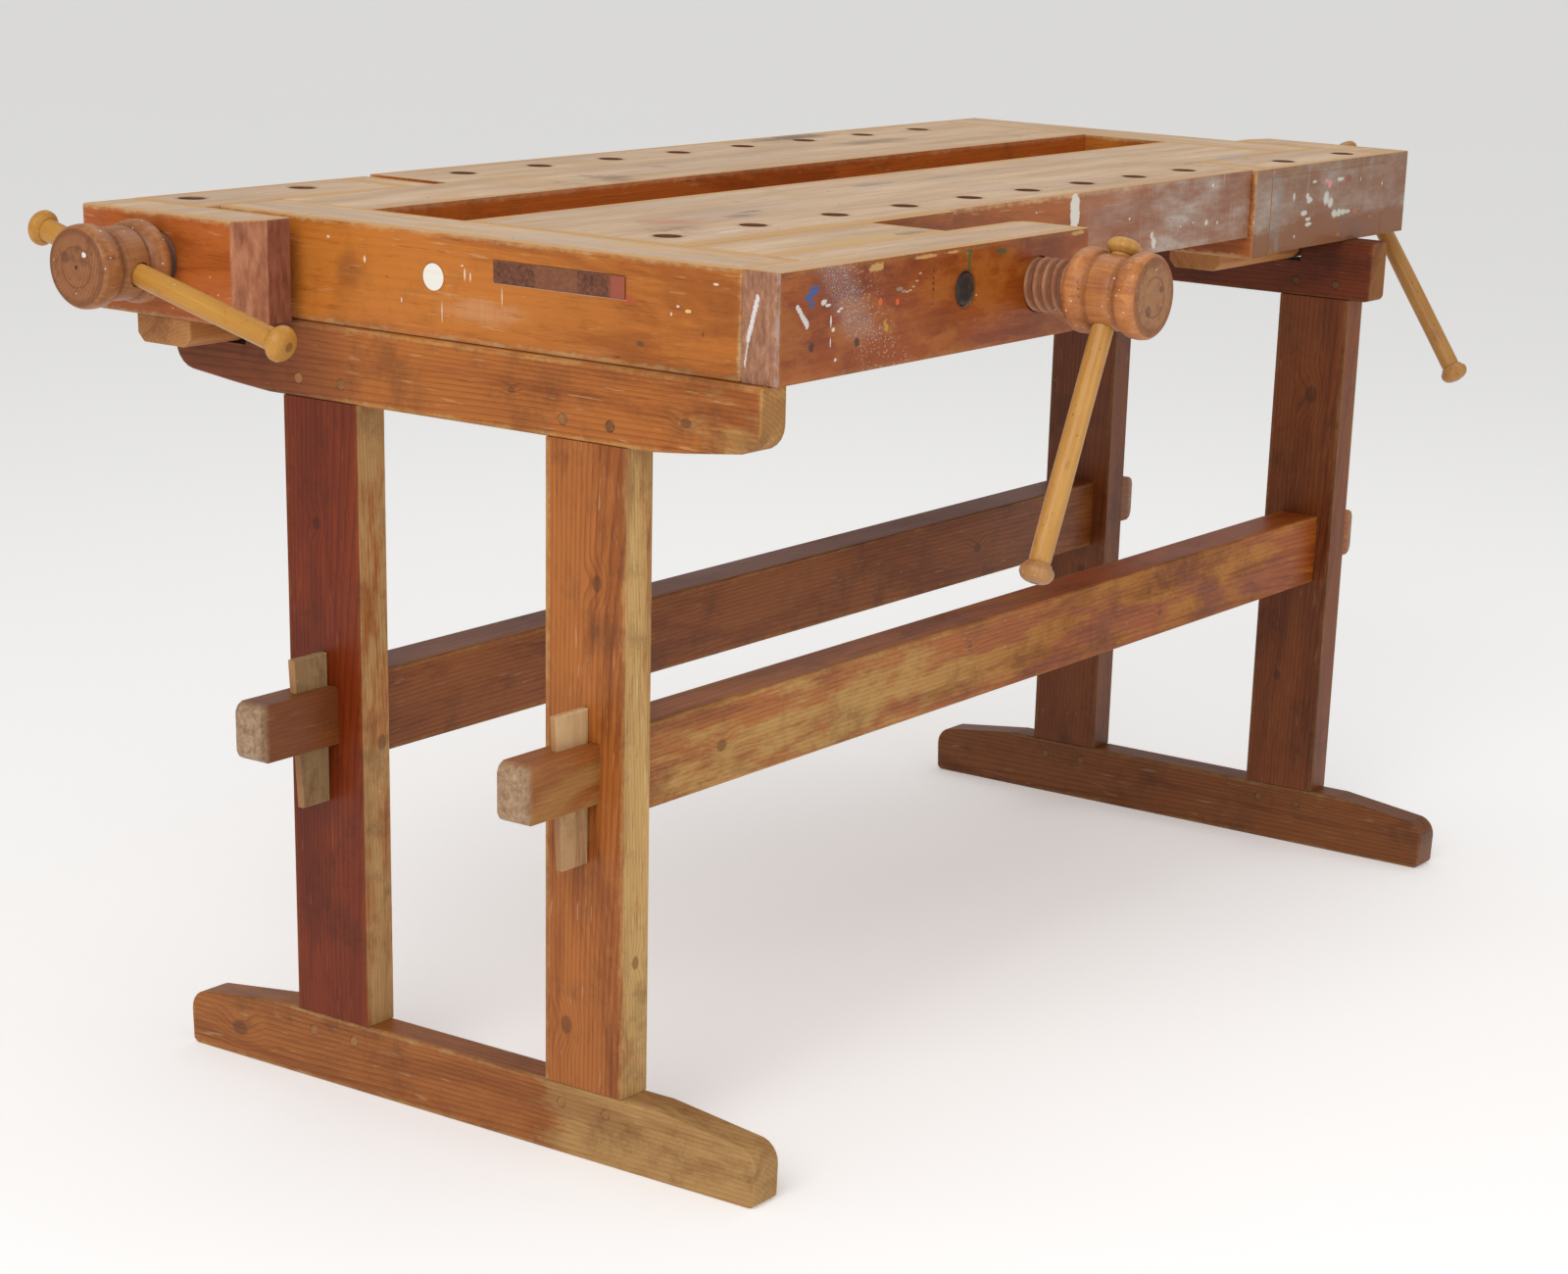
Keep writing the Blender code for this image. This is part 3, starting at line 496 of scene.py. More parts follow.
# old marks on the top: x, y, width, depth, share, tint
TOP_MARKS = (
    (0.3, 0.415, 0.12, 0.022, 0.75, (0.15, 0.105, 0.085)),
    (0.35, 0.325, 0.1, 0.03, 0.55, (0.24, 0.165, 0.12)),
    (-0.5, -0.02, 0.055, 0.035, 0.45, (0.46, 0.15, 0.105)),
    (-0.4, -0.035, 0.045, 0.016, 0.7, (0.24, 0.185, 0.165)),
    (-0.375, -0.02, 0.03, 0.006, 0.8, (0.13, 0.12, 0.125)),
    (-0.06, 0.048, 0.05, 0.012, 0.6, (0.22, 0.2, 0.22)),
    (0.07, 0.045, 0.045, 0.012, 0.45, (0.3, 0.26, 0.25)),
    (0.02, -0.035, 0.06, 0.03, 0.5, (0.58, 0.4, 0.32)), (-0.47, -0.22, 0.13, 0.03, 0.65, (0.62, 0.4, 0.17)),
    (-0.395, -0.222, 0.06, 0.01, 0.7, (0.24, 0.175, 0.13)),
    (-0.61, -0.285, 0.08, 0.012, 0.55, (0.64, 0.42, 0.19)),
    (-0.66, -0.12, 0.05, 0.06, 0.5, (0.6, 0.375, 0.155)),
    (0.54, -0.05, 0.06, 0.02, 0.55, (0.42, 0.4, 0.42)),
    (-0.125, 0.32, 0.11, 0.025, 0.4, (0.56, 0.35, 0.25)),
    (-0.58, 0.33, 0.055, 0.03, 0.55, (0.62, 0.38, 0.155)),
    (0.265, -0.1, 0.04, 0.018, 0.5, (0.6, 0.37, 0.18)), (-0.69, 0.07, 0.02, 0.09, 0.6, (0.6, 0.37, 0.15)),
    (-0.52, -0.105, 0.03, 0.005, 0.7, (0.78, 0.7, 0.58)),
)


def worked_top(g, color, rough, away, seed=0.0, grain=0):
    """The working surface: scrubbed pale wood with grey streaks, stains, cuts and old paint."""
    up = g.step(g.facing[2], 0.55, 0.85)
    long = along(grain, 30.0, 3.5)
    streak = g.noise(long, seed + 50.0, 5.0, 0.62)
    lines = g.noise(along(grain, 260.0, 9.0), seed + 51.0, 3.0, 0.6)
    base = g.blend(g.step(g.add(g.mul(streak, 0.62), g.mul(lines, 0.38)), 0.34, 0.66), TOP_LIGHT, TOP_DARK)
    grey = g.step(g.noise(tuple(s * 0.55 for s in long), seed + 53.0, 4.0, 0.65), 0.5, 0.7)
    base = g.lay(base, grey, 0.55, (0.52, 0.385, 0.305))
    gold = g.step(g.noise(8.0, seed + 54.0, 4.0, 0.6), 0.52, 0.68)
    base = g.lay(base, gold, 0.42, (0.58, 0.345, 0.155))
    stain = g.step(g.noise(5.5, seed + 55.0, 5.0, 0.72), 0.6, 0.72)
    base = g.lay(base, stain, 0.65, (0.26, 0.155, 0.1))
    for k, (turn, share) in enumerate(((0.35, 0.45), (-0.6, 0.35), (1.3, 0.3))):
        c, s = math.cos(turn), math.sin(turn)
        u = g.add(g.mul(g.axis[0], c), g.mul(g.axis[1], s))
        v = g.sub(g.mul(g.axis[1], c), g.mul(g.axis[0], s))
        rough_lines = g.noise((14.0, 420.0, 1.0), seed + 60.0 + k, 1.0, 0.4, vector=g.join(u, v, 0.0))
        cut = g.step(rough_lines, 0.735, 0.765)
        base = g.lay(base, cut, share, (0.24, 0.15, 0.1) if k != 1 else (0.8, 0.7, 0.56))
    chalk = g.spots((34.0, 60.0, 1.0), seed + 3.0, 0.1, 0.22)
    base = g.lay(base, chalk, 0.75, WHITE)
    dark = g.spots((44.0, 44.0, 1.0), seed + 9.0, 0.085, 0.3)
    base = g.lay(base, dark, 0.75, (0.12, 0.07, 0.045))
    scrape = g.step(g.noise((18.0, 60.0, 18.0), seed + 70.0, 5.0, 0.75), 0.665, 0.73)
    base = g.lay(base, scrape, 0.55, (0.72, 0.66, 0.57))
    rim = g.step(g.sub(away, g.mul(g.noise(70.0, seed + 4.0, 3.0), 0.014)), 0.006, 0.0)
    base = g.lay(base, rim, 0.8, (0.6, 0.335, 0.12))
    for x, y, w, h, share, paint in TOP_MARKS:
        if not (g.low[0] - w * 0.5 < x < g.high[0] + w * 0.5 and g.low[1] - h * 0.5 < y < g.high[1]
                + h * 0.5):
            continue
        base = g.lay(base, g.blob((x, y, 0.0), (w, h, None), x * 9.0 + 2.0, 0.8, 34.0, 0.8), share, paint)
    color = g.blend(up, color, base)
    rough = g.add(rough, g.mul(up, g.sub(0.62, rough)))
    return color, rough


def dog_rims(g, color, places, radius=0.013):
    """Dark, rubbed rims round the dog holes, and painted shade on the walls inside them."""
    ring = None
    for x, y in places:
        far = g.from_point((x, y, 0.0), (radius, radius, None))
        ring = far if ring is None else g.least(ring, far)
    ragged = g.add(ring, g.mul(g.sub(g.noise(150.0, 7.0, 3.0), 0.5), 0.45))
    color = g.lay(color, g.step(ragged, 1.5, 1.02), 0.42, (0.24, 0.12, 0.065))
    # painted shade: the walls inside the holes are coloured dark
    return g.blend(g.step(ring, 1.05, 1.01), color, (0.17, 0.068, 0.03))


NEAR_DOGS = [(x, -0.089) for x in (-0.5875, -0.4575, -0.3255, -0.2055, -0.0875, 0.0235, 0.1335, 0.2435,
        0.3535)]
FAR_DOGS = [(x, 0.386) for x in (-0.3165, -0.1935, -0.0725, 0.0485, 0.1695, 0.2905, 0.4115, 0.5325)]


def near_plank_look(g, color, rough, away):
    color, rough = worked_top(g, color, rough, away, 0.0)
    side = g.turned(1)
    # smeared paint along the near edge, from the white patch to the tail vise
    long = g.noise((10.0, 30.0, 34.0), 81.0, 5.0, 0.68)
    smear = g.ramp(long, [(0.3, (0.24, 0.085, 0.04)), (0.44, (0.3, 0.15, 0.095)),
            (0.55, (0.38, 0.265, 0.21)), (0.68, (0.5, 0.445, 0.39)), (0.8, (0.3, 0.165, 0.105))])
    streaks = g.step(g.noise((210.0, 10.0, 12.0), 82.0, 3.0, 0.6), 0.55, 0.7)
    smear = g.lay(smear, streaks, 0.4, (0.52, 0.46, 0.4))
    marks = g.step(g.noise((60.0, 60.0, 90.0), 83.0, 4.0, 0.7), 0.62, 0.72)
    smear = g.lay(smear, marks, 0.55, (0.2, 0.115, 0.085))
    reach = g.step(g.add(g.axis[0], g.mul(g.sub(long, 0.5), 0.1)), 0.032, 0.055)
    fade = g.add(0.3, g.mul(g.step(g.axis[0], 0.1, 0.28), 0.56))
    color = g.lay(color, g.mul(side, reach), fade, smear)
    patch = g.mul(side, g.blob((0.036, 0.0, 0.822), (0.01, None, 0.022), 3.0, 0.55, 120.0, 0.2))
    color = g.blend(patch, color, (0.7, 0.66, 0.58))
    dabs = on_near(((0.205, 0.777, 0.006, 0.008), (0.2, 0.785, 0.004, 0.005), (0.15, 0.806, 0.002, 0.002),
            (0.33, 0.829, 0.003, 0.003), (0.29, 0.792, 0.002, 0.0015), (0.345, 0.788, 0.002, 0.002),
            (-0.04, 0.826, 0.0012, 0.0012), (0.262, 0.79, 0.002, 0.0012), (0.32, 0.79, 0.004, 0.004)))
    color = g.paint(color, g.mul(side, 0.85), (0.68, 0.65, 0.58), dabs, 6.0, 0.6, 180.0, 0.4)
    # the tongue's end in the end board's face
    end = g.mul(g.step(g.axis[0], -0.7, -0.712), g.step(g.facing[0], -0.4, -0.8))
    grain_end = g.ramp(g.noise((1.0, 260.0, 260.0), 9.0, 3.0, 0.6),
        [(0.3, (0.07, 0.022, 0.012)), (0.7, (0.2, 0.07, 0.034))])
    red = g.step(g.axis[1], -0.128, -0.134)
    grain_end = g.blend(red, grain_end, (0.3, 0.075, 0.04))
    light = g.mul(g.step(g.axis[1], -0.045, -0.049), g.step(g.axis[1], -0.097, -0.093))
    grain_end = g.lay(grain_end, light, 0.45, (0.27, 0.1, 0.045))
    color = g.blend(end, color, grain_end)
    return dog_rims(g, color, NEAR_DOGS), rough


def far_plank_look(g, color, rough, away):
    color, rough = worked_top(g, color, rough, away, 5.0)
    return dog_rims(g, color, FAR_DOGS), rough


def end_board_look(g, color, rough, away):
    """Left end board's outer face: clean orange varnish, a blank sticker, drips and scratches."""
    color, rough = worked_top(g, color, rough, away, 9.0, 1)
    out = g.turned(0)
    sticker = g.mul(out, g.step(g.from_point((0.0, 0.07, 0.8), (None, 0.0122, 0.0122)), 1.0, 0.97))
    ring = g.mul(out, g.step(g.from_point((0.0, 0.07, 0.8), (None, 0.0138, 0.0138)), 1.0, 0.93))
    color = g.lay(color, ring, 0.4, (0.22, 0.07, 0.02))
    color = g.blend(sticker, color, (0.8, 0.77, 0.7))
    pale = on_left(((0.033, 0.806, 0.0012, 0.0065), (0.0265, 0.804, 0.001, 0.005),
            (0.036, 0.813, 0.002, 0.001), (0.152, 0.808, 0.0018, 0.004), (-0.205, 0.802, 0.0022, 0.0014),
            (-0.198, 0.795, 0.001, 0.0022), (0.196, 0.824, 0.0025, 0.0014), (-0.245, 0.8245, 0.004, 0.0012),
            (0.108, 0.776, 0.0009, 0.003), (0.06, 0.77, 0.0006, 0.012), (-0.01, 0.79, 0.0006, 0.01)))
    color = g.paint(color, g.mul(out, 0.8), (0.78, 0.7, 0.58), pale, 3.0, 0.45, 300.0, 0.5)
    yellow = g.mul(out, g.blob((0.0, -0.216, 0.799), (None, 0.004, 0.0016), 6.0, 0.5, 260.0))
    color = g.lay(color, yellow, 0.8, (0.75, 0.55, 0.18))
    haze = g.mul(out, g.mul(g.blob((0.0, 0.015, 0.775), (None, 0.06, 0.016), 4.0, 0.6, 40.0, 0.9),
            g.noise((200.0, 200.0, 30.0), 5.0, 3.0)))
    color = g.lay(color, haze, 0.55, (0.62, 0.42, 0.25))
    dents = on_left(((-0.165, 0.766, 0.0035, 0.0025), (-0.232, 0.7815, 0.0016, 0.003),
            (-0.292, 0.77, 0.0016, 0.0014), (0.125, 0.795, 0.0012, 0.0012), (-0.14, 0.752, 0.006, 0.0012)))
    color = g.paint(color, g.mul(out, 0.75), (0.12, 0.045, 0.016), dents, 2.0, 0.5, 200.0, 0.5)
    red = g.mul(out, g.blob((0.0, -0.152, 0.803), (None, 0.009, 0.005), 8.0, 0.5, 150.0))
    color = g.lay(color, red, 0.55, (0.42, 0.07, 0.03))
    knot = g.mul(out, g.blob((0.0, -0.165, 0.766), (None, 0.0045, 0.003), 2.0, 0.4, 200.0))
    color = g.lay(color, knot, 0.75, (0.15, 0.055, 0.02))
    shade = g.mul(out, g.blob((0.0, 0.172, 0.795), (None, 0.02, 0.03), 5.0, 0.35, 60.0, 0.8))
    color = g.lay(color, shade, 0.45, (0.16, 0.045, 0.018))
    shine = g.mul(out, g.step(g.noise((30.0, 6.0, 110.0), 77.0, 4.0, 0.6), 0.6, 0.72))
    color = g.lay(color, shine, 0.18, (0.72, 0.4, 0.14))
    return color, rough


# tint, share, seed, raggedness, scale, softness, rows of (x, z, width, height)
ARM_PAINT = (
    ((0.035, 0.095, 0.27), 0.88, 21.0, 0.6, 210.0, 0.4,
        [(-0.674, 0.8215, 0.0085, 0.006), (-0.682, 0.817, 0.0075, 0.004), (-0.677, 0.811, 0.0045, 0.005)]),
    ((0.7, 0.66, 0.63), 0.88, 11.0, 0.55, 220.0, 0.3,
        [(-0.6975 + k * 0.0024, 0.8095 - k * 0.0026, 0.003, 0.0026 + 0.0003 * k) for k in range(7)] 
        + [(-0.659, 0.8105, 0.005, 0.003), (-0.653, 0.8075, 0.005, 0.0016), (-0.648, 0.793, 0.0016, 0.006),
            (-0.644, 0.786, 0.003, 0.002), (-0.637, 0.801, 0.003, 0.0012), (-0.633, 0.803, 0.004, 0.001),
            (-0.648, 0.776, 0.0008, 0.005), (-0.64, 0.76, 0.002, 0.0016), (-0.436, 0.834, 0.003, 0.0014),
            (-0.423, 0.799, 0.0009, 0.0022), (-0.419, 0.795, 0.0012, 0.0009)]),
    ((0.72, 0.105, 0.03), 0.9, 13.0, 0.4, 200.0, 0.3,
        [(-0.5735, 0.803, 0.0036, 0.0036), (-0.547, 0.8005, 0.0032, 0.0032)]),
    ((0.5, 0.3, 0.035), 0.85, 17.0, 0.4, 200.0, 0.4,
        [(-0.563, 0.78, 0.0036, 0.0048), (-0.566, 0.784, 0.002, 0.003)]),
    ((0.3, 0.28, 0.19), 0.75, 19.0, 0.5, 200.0, 0.5,
        [(-0.544, 0.8115, 0.006, 0.0024), (-0.537, 0.809, 0.005, 0.0016)]),
    ((0.68, 0.5, 0.32), 0.6, 23.0, 0.4, 260.0, 0.5,
        [(-0.532 + k * 0.005, 0.808 + k * k * 0.0009, 0.0034, 0.0011) for k in range(5)]),
    ((0.035, 0.105, 0.035), 0.85, 27.0, 0.6, 170.0, 0.35,
        [(-0.433, 0.8345, 0.0075, 0.0024), (-0.4325, 0.826, 0.0024, 0.009), (-0.4335, 0.815, 0.0018, 0.005),
            (-0.378, 0.831, 0.011, 0.0028)]),
    ((0.04, 0.02, 0.012), 0.85, 29.0, 0.35, 300.0, 0.4,
        [(-0.4905, 0.8225, 0.0015, 0.0015), (-0.4908, 0.8165, 0.0017, 0.0017),
            (-0.4903, 0.8115, 0.002, 0.002), (-0.4903, 0.8065, 0.002, 0.002),
            (-0.4906, 0.7935, 0.0016, 0.0016), (-0.676, 0.774, 0.0048, 0.0048),
            (-0.608, 0.772, 0.005, 0.005)]),
)
ARM_GOLD = (
    ((0.62, 0.36, 0.12), 0.8, 31.0, 0.9, 130.0, 0.4,
        [(-0.58, 0.8335, 0.012, 0.0045), (-0.505, 0.836, 0.02, 0.002), (-0.46, 0.8365, 0.015, 0.0016),
            (-0.245, 0.837, 0.014, 0.0026)]),
)


def arm_look(g, color, rough, away):
    """The vise arm: red varnish darkened in front by painted shade, purple-brown end grain, blobs and
    splashes of paint.
    """
    color, rough = worked_top(g, color, rough, away, 14.0)
    end = g.mul(g.turned(0), g.step(g.axis[0], -0.7, -0.715))
    grain = g.ramp(g.noise((60.0, 260.0, 90.0), 19.0, 4.0, 0.65),
        [(0.3, (0.2, 0.085, 0.045)), (0.55, (0.34, 0.155, 0.085)), (0.75, (0.44, 0.25, 0.155))])
    color = g.blend(end, color, grain)
    color = g.lay(color, g.mul(end, g.step(g.axis[1], -0.262, -0.25)), 0.65, (0.5, 0.185, 0.045))
    slash = [(-0.2885 + k * 0.0011, 0.817 - k * 0.0042, 0.0026, 0.005) for k in range(9)]
    slash += [(-0.279 + k * 0.0008, 0.777 - k * 0.005, 0.0009, 0.004) for k in range(4)]
    color = g.paint(color, g.mul(end, 0.85), (0.7, 0.67, 0.66), on_left(slash), 5.0, 0.6, 420.0, 0.5)
    scuffed = g.step(g.noise((90.0, 90.0, 60.0), 8.0, 4.0, 0.7), 0.42, 0.6)
    corner = g.mul(g.step(g.axis[1], -0.3035, -0.3095), scuffed)
    color = g.lay(color, g.mul(end, corner), 0.4, (0.5, 0.38, 0.36))
    front = g.turned(1)
    # painted shade: the near face is darkened over the same varnish
    color = g.lay(color, front, 0.95, g.tinted(color, (0.56, 0.34, 0.22)))
    flame = g.step(g.noise((16.0, 16.0, 34.0), 33.0, 4.0, 0.65), 0.44, 0.62)
    color = g.lay(color, g.mul(front, flame), 0.55, (0.42, 0.135, 0.022))
    # fine pale splatter, falling from the top edge towards the right
    path = g.add(g.axis[0], g.mul(g.sub(g.axis[2], 0.8), 0.75))
    veil = g.mul(g.step(g.gap(path, -0.617), 0.036, 0.01), g.step(g.axis[2], 0.764, 0.786))
    dots = g.step(g.noise(900.0, 24.0, 2.0, 0.6), 0.52, 0.6)
    color = g.lay(color, g.mul(front, veil), g.add(0.08, g.mul(dots, 0.52)), (0.42, 0.41, 0.41))
    fine = g.mul(g.spots(420.0, 4.0, 0.3, 0.55), g.step(g.gap(path, -0.6), 0.055, 0.015))
    color = g.lay(color, front, g.mul(fine, 0.75), (0.66, 0.62, 0.59))
    color = painted(g, color, front, ARM_PAINT)
    # a dark ring round the head of the bolt
    ring = g.step(g.from_point((-0.438, 0.0, 0.802), (0.018, None, 0.0185)), 1.06, 0.88)
    color = g.lay(color, g.mul(front, ring), 0.75, (0.085, 0.028, 0.014))
    return painted(g, color, front, ARM_GOLD), rough


def left_block_look(g, color, rough, away):
    """The left tail vise's end block: mauve near face, darker where it stands clear of the end board."""
    color, rough = worked_top(g, color, rough, away, 20.0)
    near = g.step(g.facing[1], -0.12, -0.3)
    mauve = g.ramp(g.noise((150.0, 150.0, 40.0), 29.0, 4.0, 0.6),
        [(0.3, (0.24, 0.085, 0.042)), (0.55, (0.42, 0.17, 0.088)), (0.75, (0.52, 0.24, 0.14))])
    side = g.invert(g.step(g.facing[2], 0.55, 0.85))
    color = g.lay(color, near, side, mauve)
    flat = g.step(g.axis[0], -0.7725, -0.77)
    return g.lay(color, g.mul(near, flat), side, g.tinted(color, (0.6, 0.5, 0.55))), rough


RIGHT_BOARD_PAINT = (
    ((0.64, 0.62, 0.55), 0.88, 33.0, 0.6, 150.0, 0.45,
        [(0.594, 0.798, 0.0085, 0.0095), (0.6055, 0.79275, 0.0085, 0.0075), (0.617, 0.77925, 0.0085, 0.006),
            (0.6285, 0.77925, 0.0085, 0.0052), (0.64, 0.77925, 0.0085, 0.004),
            (0.6515, 0.77925, 0.0085, 0.0026), (0.552, 0.799, 0.0085, 0.0045),
            (0.546, 0.803, 0.005, 0.0045), (0.54, 0.785, 0.0095, 0.0036), (0.55, 0.7775, 0.0085, 0.0026),
            (0.552, 0.7715, 0.0095, 0.0028), (0.562, 0.819, 0.0065, 0.0022), (0.627, 0.818, 0.0095, 0.003),
            (0.512, 0.805, 0.0032, 0.006), (0.738, 0.806, 0.0022, 0.0024), (0.519, 0.76, 0.0022, 0.0022),
            (0.68, 0.815, 0.001, 0.003)]),
    ((0.74, 0.25, 0.24), 0.9, 35.0, 0.5, 170.0, 0.4,
        [(0.6, 0.814, 0.005, 0.006), (0.592, 0.818, 0.005, 0.003)]),
    ((0.3, 0.035, 0.025), 0.7, 37.0, 0.7, 90.0, 0.5, [(0.65, 0.817, 0.012, 0.0055)]),
    ((0.06, 0.1, 0.28), 0.75, 39.0, 0.4, 220.0, 0.4, [(0.643, 0.766, 0.0014, 0.0075)]),
    ((0.56, 0.17, 0.04), 0.6, 41.0, 0.7, 130.0, 0.5,
        [(0.672, 0.777, 0.008, 0.0035), (0.63, 0.754, 0.006, 0.002), (0.712, 0.769, 0.005, 0.002)]),
)


def right_front(g, color, board_name):
    """The right tail vise's near face, smeared with many paints."""
    front = g.turned(1)
    wide = g.noise((9.0, 20.0, 26.0), 91.0, 5.0, 0.68)
    tone = g.ramp(wide, [(0.3, (0.22, 0.08, 0.034)), (0.46, (0.25, 0.125, 0.072)),
            (0.58, (0.31, 0.22, 0.165)), (0.72, (0.42, 0.37, 0.32))])
    lines = g.step(g.noise((190.0, 8.0, 10.0), 92.0, 3.0, 0.6), 0.56, 0.7)
    tone = g.lay(tone, lines, 0.45, (0.3, 0.34, 0.33))
    color = g.lay(color, front, 0.85, tone)
    brown = g.mul(front, g.step(g.add(g.axis[2], g.mul(g.sub(wide, 0.5), 0.05)), 0.784, 0.772))
    color = g.lay(color, brown, 0.92, (0.23, 0.08, 0.024))
    if board_name != "dog_board":
        return color
    color = painted(g, color, front, RIGHT_BOARD_PAINT)
    stripe = g.mul(g.step(g.gap(g.axis[0], 0.4715), 0.0045, 0.0015), g.step(g.axis[2], 0.806, 0.822))
    color = g.lay(color, g.mul(front, stripe), 0.8, (0.52, 0.12, 0.085))
    drab = g.mul(g.step(g.axis[0], 0.485, 0.475), g.step(g.noise((40.0, 8.0, 20.0), 95.0, 4.0), 0.4, 0.6))
    return g.lay(color, g.mul(front, drab), 0.6, (0.22, 0.23, 0.2))


def tail_look(side, seed, board_name):
    """Moving boards of a tail vise. The right one carries smears of many paints."""
    def add(g, color, rough, away):
        color, rough = worked_top(g, color, rough, away, seed)
        if side == "right":
            color = right_front(g, color, board_name)
        sign, y = (-1.0, 0.392) if side == "left" else (1.0, -0.111)
        return dog_rims(g, color, [(sign * 0.5485, y), (sign * 0.6985, y)]), rough
    return add


def bench_top():
    common = dict(spacing=0.0075, contrast=0.22, wobble=0.016, edge=0.0045, dirt=0.3, spots=0.35, gloss=0.3)
    redder = ((0.38, 0.108, 0.02), (0.26, 0.062, 0.012))
    near = board("near_plank_wood", "near_plank", 0, redder, BEECH_BARE, 40.0, worn=0.22,
        box=((-0.6385, -0.14, 0.766), (0.6555, 0.105, 0.84)), extra=near_plank_look, **common)
    dress("near_plank", near)
    # the far plank's near face is the tray's far wall; its near_tint is painted shade in the tray
    far = board("far_plank_wood", "far_plank", 0, BEECH_COAT, BEECH_BARE, 44.0, worn=0.22,
        near_tint=(0.92, 0.66, 0.6), extra=far_plank_look, **common)
    dress("far_plank", far)
    left = board("left_end_wood", "left_end_board", 1, BEECH_COAT, BEECH_BARE, 48.0, worn=0.16,
        shades=((1, 0.06, -0.12, (0.84, 0.8, 0.72)),), extra=end_board_look, **common)
    dress("left_end_board", left)
    right = board("right_end_wood", "right_end_board", 1, BEECH_COAT, BEECH_BARE, 52.0, worn=0.24,
        extra=lambda g, c, r, a: worked_top(g, c, r, a, 17.0, 1), **common)
    dress("right_end_board", right)
    arm = board("vise_arm_wood", "vise_arm", 0, BEECH_COAT, BEECH_BARE, 56.0, worn=0.18, extra=arm_look,
        **common)
    dress("vise_arm", arm)
    spacer = board("spacer_wood", "arm_spacer", 0, BEECH_COAT, BEECH_BARE, 60.0, worn=0.24, extra=lambda g,
        c, r, a: worked_top(g, c, r, a, 23.0), **common)
    dress("arm_spacer", spacer, 0.0014)
    jaw = board("front_jaw_wood", "front_jaw_board", 0, redder, BEECH_BARE, 64.0, worn=0.35, **common)
    dress("front_jaw_board", jaw, 0.0018)
    for side, seed in (("left", 68.0), ("right", 76.0)):
        coat = BEECH_COAT if side == "left" else redder
        warm = ((0.46, 0.12, 0.024), (0.36, 0.08, 0.015)) if side == "left" else redder
        block = board(side + "_block_wood", side + "_end_block", 1, warm, BEECH_BARE, seed, worn=0.2,
            extra=left_block_look if side == "left" else tail_look(side, 24.0, "end_block"), **common)
        dress(side + "_end_block", block)
        for k, part in enumerate(("vise_cover", "dog_board", "tail_jaw")):
            grain = 1 if part == "tail_jaw" else 0
            made = board(f"{side}_{part}_wood", f"{side}_{part}", grain, coat, BEECH_BARE, seed + 1.0 + k,
                worn=0.24, extra=tail_look(side, 30.0, part), **common)
            dress(f"{side}_{part}", made, 0.0016)


# ---------------------------------------------------------------- turned pieces

THREAD_R = 0.0255
ROOT_R = 0.0212
PITCH = 0.01
BAR_R = 0.011
BAR_HOLE_R = 0.0117
KNOB_R = 0.0165
HUB = [(0.0, THREAD_R), (0.0006, 0.03), (0.003, 0.0362), (0.0075, 0.0392), (0.014, 0.0396), (0.019, 0.0386),
    (0.0225, 0.0362), (0.024, 0.034), (0.025, 0.0337), (0.027, 0.0347), (0.034, 0.035), (0.044, 0.0346),
    (0.049, 0.0336), (0.05, 0.0328), (0.0506, 0.0334), (0.053, 0.0321), (0.0552, 0.0326), (0.0575, 0.0362),
    (0.062, 0.0388), (0.07, 0.0397), (0.0765, 0.0388), (0.0797, 0.036), (0.0808, 0.0322), (0.0806, 0.031),
    (0.0802, 0.0305), (0.0805, 0.026), (0.0804, 0.019), (0.08, 0.018), (0.0804, 0.017), (0.0805, 0.006),
    (0.0802, 0.002), (0.0802, 0.0)]


def placed(origin, axis):
    """A frame whose local Z runs along axis."""
    along = Vector(axis).normalized()
    side = Vector((0.0, 0.0, 1.0)) if abs(along.z) < 0.9 else Vector((1.0, 0.0, 0.0))
    u = side.cross(along).normalized()
    v = along.cross(u)
    turn = Matrix((u, v, along)).transposed().to_4x4()
    return Matrix.Translation(Vector(origin)) @ turn


def lathe(name, place, rows, segments, shape=None):
    """Rows of (z, radius) swept round local Z. shape(z, angle, radius) gives the true radius."""
    points, faces, rings = [], [], []
    for z, radius in rows:
        if radius <= 1e-6:
            rings.append([len(points)])
            points.append((0.0, 0.0, z))
            continue
        ring = []
        for k in range(segments):
            angle = 2.0 * math.pi * k / segments
            r = shape(z, angle, radius) if shape else radius
            ring.append(len(points))
            points.append((r * math.cos(angle), r * math.sin(angle), z))
        rings.append(ring)
    for a, b in zip(rings, rings[1:]):
        for k in range(segments):
            n = (k + 1) % segments
            if len(a) == 1 and len(b) == 1:
                continue
            if len(a) == 1:
                faces.append((a[0], b[n], b[k]))
            elif len(b) == 1:
                faces.append((a[k], a[n], b[0]))
            else:
                faces.append((a[k], a[n], b[n], b[k]))
    mesh = bpy.data.meshes.new(name)
    mesh.from_pydata(points, [], faces)
    mesh.validate()
    obj = bpy.data.objects.new(name, mesh)
    SCENE.collection.objects.link(obj)
    obj.matrix_world = place
    return obj


def smoothed(rows, step):
    """A smooth curve through the given rows, with a point at least every step."""
    out = []
    last = len(rows) - 1
    for i in range(last):
        p0, p1, p2, p3 = rows[max(i - 1, 0)], rows[i], rows[i + 1], rows[min(i + 2, last)]
        length = math.hypot(p2[0] - p1[0], p2[1] - p1[1])
        count = max(1, int(length / step))
        for k in range(count):
            t = k / count
            point = []
            for a, b, c, d in zip(p0, p1, p2, p3):
                slope1, slope2 = (c - a) * 0.35, (d - b) * 0.35
                h = t * t * (3.0 - 2.0 * t)
                point.append(b + (c - b) * h + slope1 * t * (1 - t) * (1 - t) - slope2 * t * t * (1 - t))
            out.append(tuple(point))
    out.append(rows[-1])
    return out


